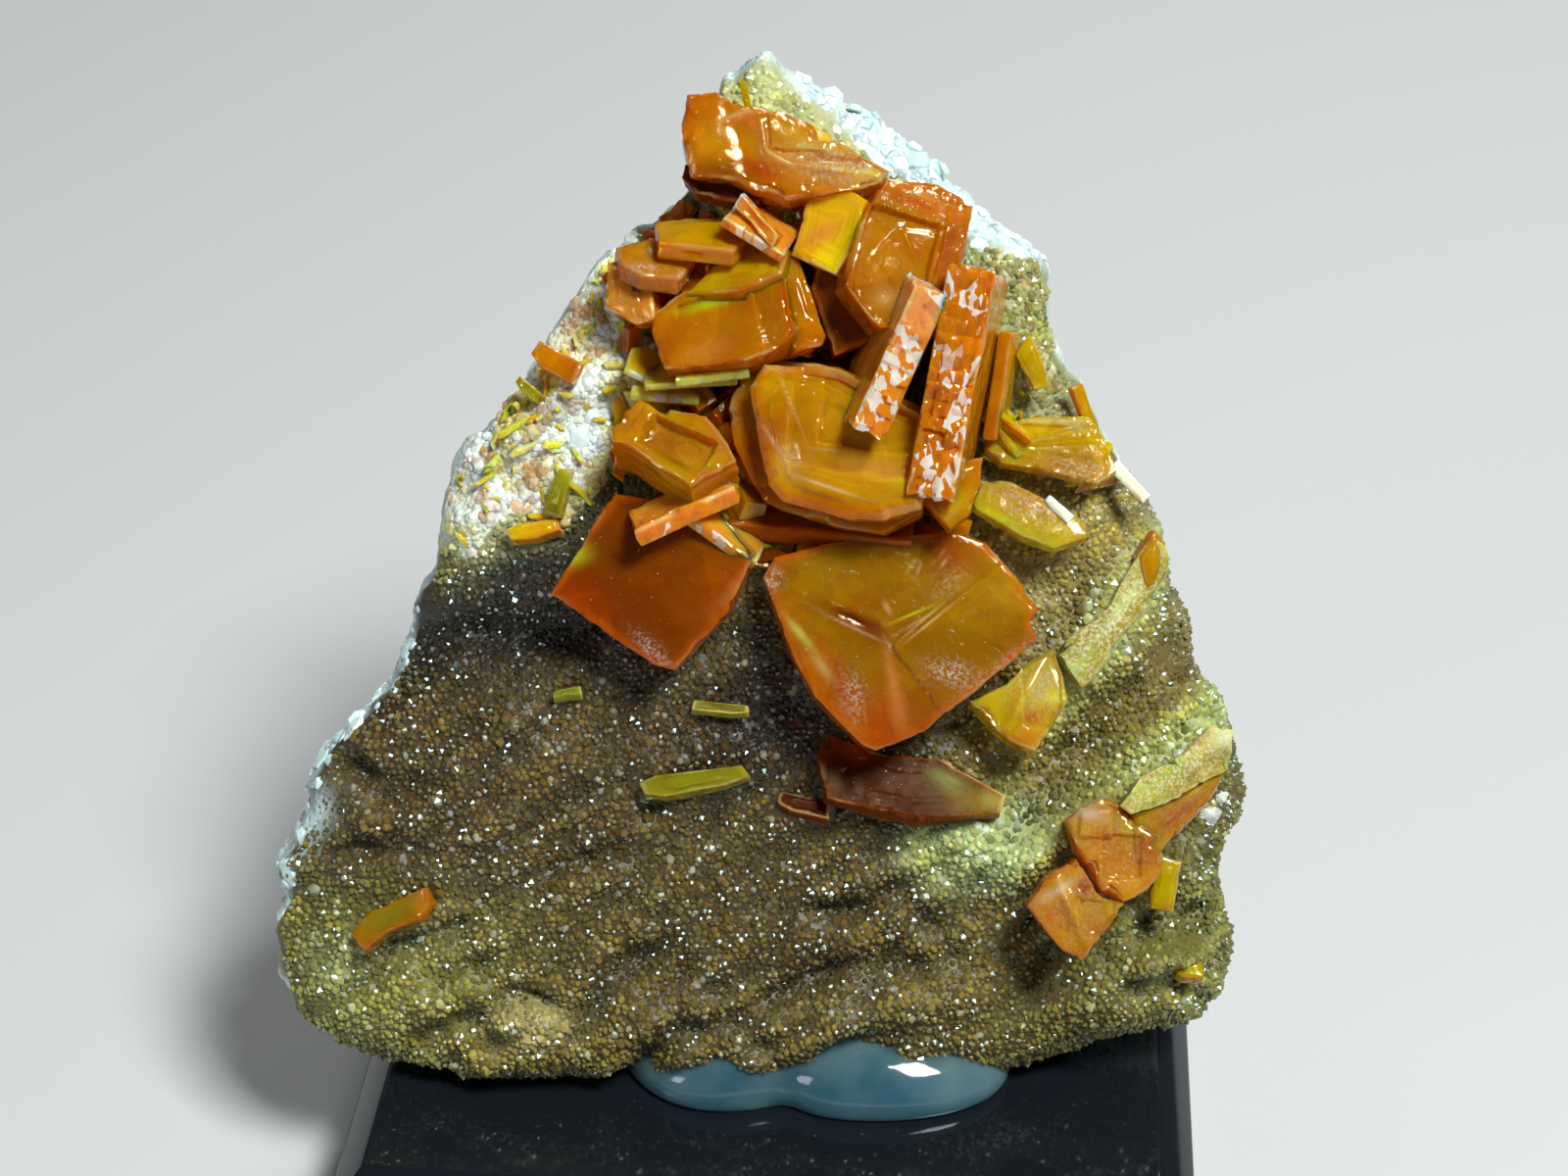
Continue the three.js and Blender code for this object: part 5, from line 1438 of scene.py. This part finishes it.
# %% Edge and rim
def on_the_edge(chosen, spacing, rings, draw):
    """Places and outward normals on the slab's edge where chosen(u, v) holds: quads between the
    rings, drawn by their share of the area, and a place drawn in each."""
    wall = slab_lattice[FACE_RINGS + rings[0] : FACE_RINGS + rings[1]]
    here, along, down = wall[:-1], np.roll(wall, -1, 1)[:-1] - wall[:-1], wall[1:] - wall[:-1]
    across = np.cross(down, along).reshape(-1, 3)
    area = np.linalg.norm(across, axis=1)
    share = area * chosen(here[..., 0], here[..., 1]).ravel()
    count = int(1.6 * share.sum() / (ROW_STEP * spacing**2))
    quad = draw.choice(len(area), count, p=share / share.sum())
    here, along, down = (part.reshape(-1, 3)[quad] for part in (here, along, down))
    part = draw.random((2, count, 1))
    places = here + part[0] * along + part[1] * down
    normals = across[quad] / area[quad, None]
    outward = (normals[:, :2] * (places[:, :2] - HUB)).sum(1)
    normals = normals * np.where(outward < 0, -1, 1)[:, None]
    clear = above_floor(places)
    return places[clear], normals[clear]


at, out = on_the_edge(drusy_edge, SPACING, (-8, 7), draw)
edge_tints = DIM * zoned(*at[:, :2].T, DRUSE_ZONES, DRUSE_GROUND) * draw.uniform(0.5, 1.2, (len(at), 1))
grains("druse_edge", at, out, SPACING * 0.62 * np.exp(draw.normal(0, 0.18, len(at))), edge_tints, draw)
at, out = on_the_edge(milky_edge, 0.8, (-1, 8), draw)
rim_tints = np.array([0.62, 0.82, 0.80]) * draw.uniform(0.75, 1.15, (len(at), 1))
rim_radii = 0.5 * np.where(at[:, 0] < 0, 0.7, 1.0) * np.exp(draw.normal(0, 0.3, len(at)))
grains("milky_rim", at, out, rim_radii, rim_tints, draw, MILKY, 0.4)
for title, part in (("left", u < -4), ("middle", (u >= -4) & (u < 9)), ("right", u >= 9)):
    grains(f"druse_{title}", places[part], normals[part], radii[part], tints[part], draw)

# %% [markdown]
# ## The rind at the upper left, and crusts
# Here the slab was broken, and the druse gives way to a crumbly rind of milky quartz, stained yellow.
# Its crumbs are grains like those of the druse, paler and of two sizes. A few small patches elsewhere,
# beside the crystals, have a pale or yellowish crust of the same crumbs.

# %% Rind and crusts
def crumbs(name, spacing, outline, chance, tint_rule, seed, size, tall):
    """Pale grains inside an outline, each with some chance, tinted by a rule of u, v and draw."""
    draw = np.random.default_rng(seed)
    u, v = face_lattice(spacing, draw, 0.45)
    keep = (reach_at(u, v) < 1.0) & inside(u, v, np.array(outline)) & (draw.random(len(u)) < chance)
    u, v = u[keep], v[keep]
    places = np.stack([u, v, face_level(u, v)], -1)
    keep = ~inside_a_crystal(places)
    u, v, places = u[keep], v[keep], places[keep]
    radii = spacing * size * np.exp(draw.normal(0, 0.35, len(u)))
    grains(name, places, face_normal(u, v), radii, tint_rule(u, v, draw), draw, MILKY, tall)


def shuffled(colours, count, draw):
    """A random pick of the colours for each shape, up to a third lighter or darker."""
    picked = np.array([paint(*c) for c in colours])[draw.integers(len(colours), size=count)]
    return picked * draw.uniform(0.7, 1.15, (count, 1))


crumbs("rind_crumbs", 0.27, RIND, 0.95, rind_tints, 21, 0.85, 0.6)
crumbs("rind_lumps", 0.8, RIND, 0.16, rind_tints, 22, 0.4, 0.6)
CRUSTS = [  # outline, chance of a crumb, colours
    (
        [[2.2, 42.4], [5.6, 41.2], [6.6, 40.0], [3.0, 39.8], [1.6, 41.4]],
        0.9, [(236, 214, 110), (238, 240, 214), (222, 178, 50)],
    ),
    (
        [[10.1, 38.5], [12.5, 37.8], [13.7, 35.3], [13.4, 31.1], [11.5, 30.3], [11.2, 34.1], [10.0, 35.8]],
        0.8, [(190, 170, 104), (168, 146, 80), (214, 204, 150)],
    ),
    (
        [[13.6, 20.4], [15.2, 23.0], [17.0, 24.9], [17.9, 24.4], [17.2, 22.2], [15.0, 19.9]],
        0.7, [(196, 206, 140), (220, 236, 186), (206, 196, 100)],
    ),
    (
        [[15.2, 13.4], [18.4, 16.6], [21.0, 17.0], [20.6, 15.0], [17.0, 12.8]],
        0.6, [(210, 216, 150), (196, 190, 90), (226, 236, 196)],
    ),
    (
        [[7.8, 12.8], [11.6, 12.5], [10.6, 10.0], [8.4, 10.8]],
        0.75, [(186, 210, 150), (216, 232, 200), (196, 196, 110)],
    ),
    (
        [[19.4, 13.6], [21.8, 14.4], [21.6, 11.2], [20.2, 11.0]],
        0.8, [(226, 232, 206), (236, 214, 130), (240, 244, 232)],
    ),
]
CRUST_DIM = 0.75
for number, (outline, chance, colours) in enumerate(CRUSTS):
    crumbs(
        f"crust_{number + 1}", 0.34, outline, chance,
        lambda u, v, draw: CRUST_DIM * shuffled(colours, len(u), draw), 41 + number, 0.66, 0.9,
    )

# %% [markdown]
# ## Splinters
# Broken bits of wulfenite lie on the rind, and fill the clefts between the large tablets, where the
# crystals grew into one crowded mass. Each is a five-sided prism of twenty triangles, laid at random
# where no tablet is.

# %% Splinters
PRISM = 5


def splinters(
    name, node, outlines, count, low, high, seed, tip, deep, colours, glitter, finish=CLOUDED
):
    """Five-sided prisms at random places in the outlines that no tablet covers, at heights deep over
    the face, with normals tipped by tip at random and half sizes between low and high. Each one's
    corners stand at uneven angles and reaches, and its top is a little smaller than its foot."""
    draw = np.random.default_rng(seed)
    u = draw.uniform(OUTLINE[:, 0].min(), OUTLINE[:, 0].max(), count * 60)
    v = draw.uniform(0, OUTLINE[:, 1].max(), count * 60)
    found = sum(inside(u, v, np.array(outline)) for outline in outlines) > 0
    u, v = u[found], v[found]
    places = np.stack([u, v, face_level(u, v) + draw.uniform(*deep, len(u))], -1)
    keep = ~inside_a_crystal(places, 0.0) & (reach_at(u, v) < 0.99)
    places = places[keep][:count]
    count = len(places)
    normals = unit(face_normal(*places[:, :2].T) + draw.normal(0, tip, (count, 3)))
    halves = np.array(low) + draw.random((count, 1)) ** 1.5 * (np.array(high) - low)
    halves = halves * draw.uniform(0.75, 1.25, halves.shape)
    tints = shuffled(colours, count, draw)
    angle = (np.arange(PRISM) + draw.uniform(-0.3, 0.3, (count, PRISM))) / PRISM * 2 * np.pi
    reach = draw.uniform(0.75, 1.1, (count, PRISM))
    ring = np.stack([np.cos(angle) * reach, np.sin(angle) * reach], -1)
    top = np.concatenate([ring * 0.86, np.ones((count, PRISM, 1))], -1)
    foot = np.concatenate([ring, -np.ones((count, PRISM, 1))], -1)
    poles = np.array([[0, 0, 1.0]]) * np.ones((count, 1, 1))
    shapes = np.concatenate([poles, top, foot, -poles], 1) * halves[:, None]
    points = stood(shapes, spun_frames(normals, draw), places)
    painted = {"tint": tints, "glitter": np.full(count, glitter), "dust": np.zeros(count)}
    join_shapes(name, points, PRISM, finish, painted, node)


CREVICES = [
    [[-2.8, 42.6], [0.9, 42.0], [5.7, 40.6], [8.6, 38.7], [8.4, 36.2], [7.6, 33.3], [4.3, 33.5],
     [2.2, 36.9], [-0.3, 37.7], [-3.2, 38.1], [-4.9, 37.6], [-3.2, 39.8]],
    [[-6.0, 36.6], [-2.8, 37.9], [2.6, 36.9], [4.7, 33.5], [3.9, 32.4], [-0.3, 32.4], [-4.7, 31.5],
     [-5.9, 34.2]],
    [[-5.3, 31.2], [-0.9, 32.3], [4.3, 32.1], [9.3, 28.3], [9.2, 25.1], [5.6, 24.5], [0.5, 24.1],
     [-2.8, 26.2], [-6.0, 28.3]],
]
RAYS = [[9.6, 31.2], [14.0, 30.6], [16.4, 27.4], [15.0, 27.0], [12.3, 28.5], [9.6, 27.9]]
splinters(
    "rind_splinters", "left_amber_blade", [RIND], 75,
    [0.22, 0.08, 0.06], [0.9, 0.24, 0.14], 31, 0.5, (0.05, 0.25),
    [(236, 196, 50), (226, 160, 30), (236, 216, 120), (232, 176, 40), (226, 196, 80)], 0.6, CRUSTED,
)
splinters(
    "crevice_splinters", CENTRAL, CREVICES, 230,
    [0.45, 0.3, 0.15], [1.5, 0.9, 0.4], 33, 0.45, (0.1, 0.9),
    [(190, 110, 4), (150, 70, 2), (206, 140, 8), (216, 170, 20), (176, 84, 6)], 0.35,
)
splinters(
    "amber_splinters", AMBER, [RAYS], 60,
    [0.4, 0.12, 0.1], [1.5, 0.3, 0.2], 35, 0.5, (0.1, 0.9),
    [(226, 190, 10), (206, 160, 8), (236, 206, 40), (196, 130, 8)], 0.4,
)

# %% [markdown]
# ## The putty
# The slab stands in a blob of clear putty that has gone milky: a low mound in two lobes, wet and
# glossy. A lump could be sculpted, but rings about one middle stay closed and are easy to swell.

# %% Putty
PUTTY_MIDDLE, PUTTY_HALF = np.array([2.0, -8.4]), np.array([8.3, 5.1])
PUTTY_HEIGHT, PUTTY_EDGE, PUTTY_GAP = 3.4, 0.35, 0.02
PUTTY_AROUND, PUTTY_RINGS = 128, 40


def putty_points():
    """Rings of a dome: the radius goes as a sine and the height as a cosine. Each ring swells in two
    lobes with the cosine of twice the angle, a third lobe swells at 230 degrees, and a pinch at 257
    degrees parts them. Below, three rings round the edge under to the base."""
    angle = np.arange(PUTTY_AROUND) / PUTTY_AROUND * 2 * np.pi
    circle = np.column_stack([np.cos(angle), np.sin(angle)])
    swell = 1 + 0.07 * np.cos(2 * angle) - 0.05 * np.sin(3 * angle + 0.6)
    swell = swell + 0.12 * np.exp(-(((angle - np.radians(230)) / 0.35) ** 2))
    front = np.exp(-(((angle - np.radians(257)) / 0.20) ** 2))
    foot = BASE_HEIGHT + PUTTY_GAP
    rings = []
    for step in np.arange(1, PUTTY_RINGS + 1) / PUTTY_RINGS:
        turn = np.pi / 2 * step
        reach = np.sin(turn) * (swell - 0.13 * front * step)
        rise = (PUTTY_HEIGHT - PUTTY_EDGE) * np.cos(turn) * (1 - 0.35 * front * step)
        place = PUTTY_MIDDLE + PUTTY_HALF * reach[:, None] * circle
        rings.append(np.column_stack([place, foot + PUTTY_EDGE + rise]))
    for share, level in ((1.0, 0.2), (0.985, 0.08), (0.97, 0.0)):
        ring = rings[PUTTY_RINGS - 1].copy()
        ring[:, :2] = PUTTY_MIDDLE + (ring[:, :2] - PUTTY_MIDDLE) * share
        ring[:, 2] = foot + level
        rings.append(ring)
    return closed(rings, [*PUTTY_MIDDLE, foot + PUTTY_HEIGHT], [*PUTTY_MIDDLE, foot]), len(rings)


def putty_finish():
    """Milky gel under a wet gloss, clouded from deep blue to pale."""
    f = Finish("milky_putty")
    cloud = f.noise(3.0).between(0.3, 0.7)
    return f.done(
        Base_Color=f.mix(cloud, (0.12, 0.36, 0.50), (0.42, 0.68, 0.76)),
        Roughness=0.05 + 0.04 * f.noise(2.0, 2.0),
        IOR=1.42,
        Transmission_Weight=0.80,
        Subsurface_Weight=1.0,
        Subsurface_Radius=(0.6, 0.8, 1.0),
        Subsurface_Scale=1.5 * MM,
        Normal=f.bump(f.noise(2.5), 0.15, 0.25),
    )


points, ring_count = putty_points()
putty = make_piece("putty_blob", points, skin_faces(ring_count, PUTTY_AROUND), [putty_finish()])
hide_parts("putty")

# %% [markdown]
# ## The base
# The base is a thick square of dark acrylic whose top edge is bevelled. A box with a bevel modifier
# would do. Rings are used again instead, because each edge's rounding can then be set by itself.

# %% Base
PER_CORNER = 8


def rounded_square(half, corner):
    """A square with its corners rounded: a quarter circle about each corner's centre."""
    turn = np.linspace(0, np.pi / 2, PER_CORNER)
    arcs = []
    for quarter in range(4):
        angle = turn + quarter * np.pi / 2 - np.pi / 2
        centre = np.array([[1, -1], [1, 1], [-1, 1], [-1, -1]])[quarter] * (half - corner)
        arcs.append(centre + corner * np.column_stack([np.cos(angle), np.sin(angle)]))
    return np.concatenate(arcs)


def acrylic_points():
    """Rings from the middle of the top, over the 45 degree bevel with an eased edge on each side
    of it, down the wall and in below."""
    half, top, ease = BASE_SIDE / 2, BASE_SIDE / 2 - BASE_BEVEL, 0.10
    high, low = BASE_HEIGHT, BASE_HEIGHT - BASE_BEVEL
    profile = [  # half side and height of each ring
        (top * 0.5, high), (top - 3 * ease, high), (top - ease, high - 0.1 * ease),
        (top + 0.1 * ease, high - 0.5 * ease), (top + ease, high - 1.2 * ease),
        (half - ease, low + 0.9 * ease), (half - 0.3 * ease, low),
        (half, low - ease), (half, high / 3), (half, 2 * ease),
        (half - 0.3 * ease, 0.5 * ease), (half - ease, 0.0), (half * 0.5, 0.0),
    ]
    squares = [(rounded_square(size, 0.3 if size > 9 else 0.15), level) for size, level in profile]
    rings = [np.column_stack([square, np.full(len(square), level)]) for square, level in squares]
    return closed(rings, [0, 0, BASE_HEIGHT], [0, 0, 0]), len(rings)


def acrylic_finish():
    """Near-black gloss with faint wipe marks and a few specks of dust."""
    f = Finish("dark_acrylic")
    wipes = f.noise(6.0, 6.0, 0.7, (1.0, 3.0, 1.0)).between(0.45, 0.75)
    dust = 1.0 - f.grains(1.1).between(0.03, 0.06)
    return f.done(
        Base_Color=f.mix(dust * 0.12, (0.006, 0.008, 0.011), (0.35, 0.36, 0.36)),
        Roughness=0.05 + 0.10 * wipes,
        IOR=1.49,
    )


points, ring_count = acrylic_points()
base = make_piece("acrylic_base", points, skin_faces(ring_count, 4 * PER_CORNER), [acrylic_finish()])
base.data.set_sharp_from_angle(angle=np.radians(30))
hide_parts("base")

# %% [markdown]
# ## Floor, light and camera
# A plain pale floor and studio lamps stand in for a room. The main lamp hangs above and a little to
# the right, small enough to strike one spark from every grain. A broad weak one fills the shadows.

# %% Stage
def floor_finish():
    """Even pale grey, dull."""
    f = Finish("pale_floor")
    return f.done(Base_Color=(0.50, 0.50, 0.50), Roughness=0.85)


FLOOR_HALF = 1.5  # metres
corners = FLOOR_HALF * np.array([[-1, -1, 0], [1, -1, 0], [1, 1, 0], [-1, 1, 0]])
mesh = bpy.data.meshes.new("floor")
mesh.from_pydata(corners.tolist(), [], [(0, 1, 2, 3)])
mesh.materials.append(floor_finish())
floor = bpy.data.objects.new("floor", mesh)
bpy.context.scene.collection.objects.link(floor)


def aim(thing, place, target):
    """Stands a lamp or camera at a place in mm and points its -Z at the target, with +Y up."""
    back = np.asarray(place, float) - target
    back /= np.linalg.norm(back)
    side = np.cross([0, 0, 1], back)
    side /= np.linalg.norm(side)
    matrix = np.eye(4)
    matrix[:3, :3] = np.column_stack([side, np.cross(back, side), back])
    matrix[:3, 3] = np.asarray(place) * MM
    thing.matrix_world = matrix.T.tolist()


def lamp(name, place, target, size, watts, colour=(1, 1, 1)):
    """A square lamp of a size in mm."""
    light = bpy.data.lights.new(name, "AREA")
    light.shape, light.size, light.energy, light.color = "SQUARE", size * MM, watts, colour
    thing = bpy.data.objects.new(name, light)
    bpy.context.scene.collection.objects.link(thing)
    aim(thing, place, target)


VIEW_TARGET = to_base([1.36, 22.4, 0.0])
VIEW_DISTANCE, VIEW_TURN, VIEW_RISE = 131.5, 4.6, 33.0
SENSOR, FOCAL_TO_WIDTH = 36.0, 3055 / 1600
turn, rise = np.radians(VIEW_TURN), np.radians(VIEW_RISE)
towards_camera = np.array([np.sin(turn) * np.cos(rise), -np.cos(turn) * np.cos(rise), np.sin(rise)])
camera_data = bpy.data.cameras.new("camera")
camera_data.sensor_width, camera_data.lens = SENSOR, FOCAL_TO_WIDTH * SENSOR
camera_data.clip_start = 0.005
camera = bpy.data.objects.new("camera", camera_data)
bpy.context.scene.collection.objects.link(camera)
aim(camera, VIEW_TARGET + VIEW_DISTANCE * towards_camera, VIEW_TARGET)
bpy.context.scene.camera = camera

lamp("key", [170, -160, 390], VIEW_TARGET, 120, 3.0, (0.95, 1.0, 0.98))
lamp("fill", [-300, -260, 170], VIEW_TARGET, 90, 0.22, (0.88, 0.95, 1.0))
lamp("back", [60, 320, 260], VIEW_TARGET, 120, 0.5)
world = bpy.data.worlds.new("studio")
world.use_nodes = True
sky = world.node_tree.nodes["Background"].inputs
sky["Color"].default_value, sky["Strength"].default_value = (0.86, 0.90, 0.95, 1), 0.07
bpy.context.scene.world = world
bpy.context.scene.view_settings.view_transform = "Standard"
bpy.context.scene.view_settings.look = "None"
print("the camera stands at", np.round(camera.matrix_world.translation, 3))
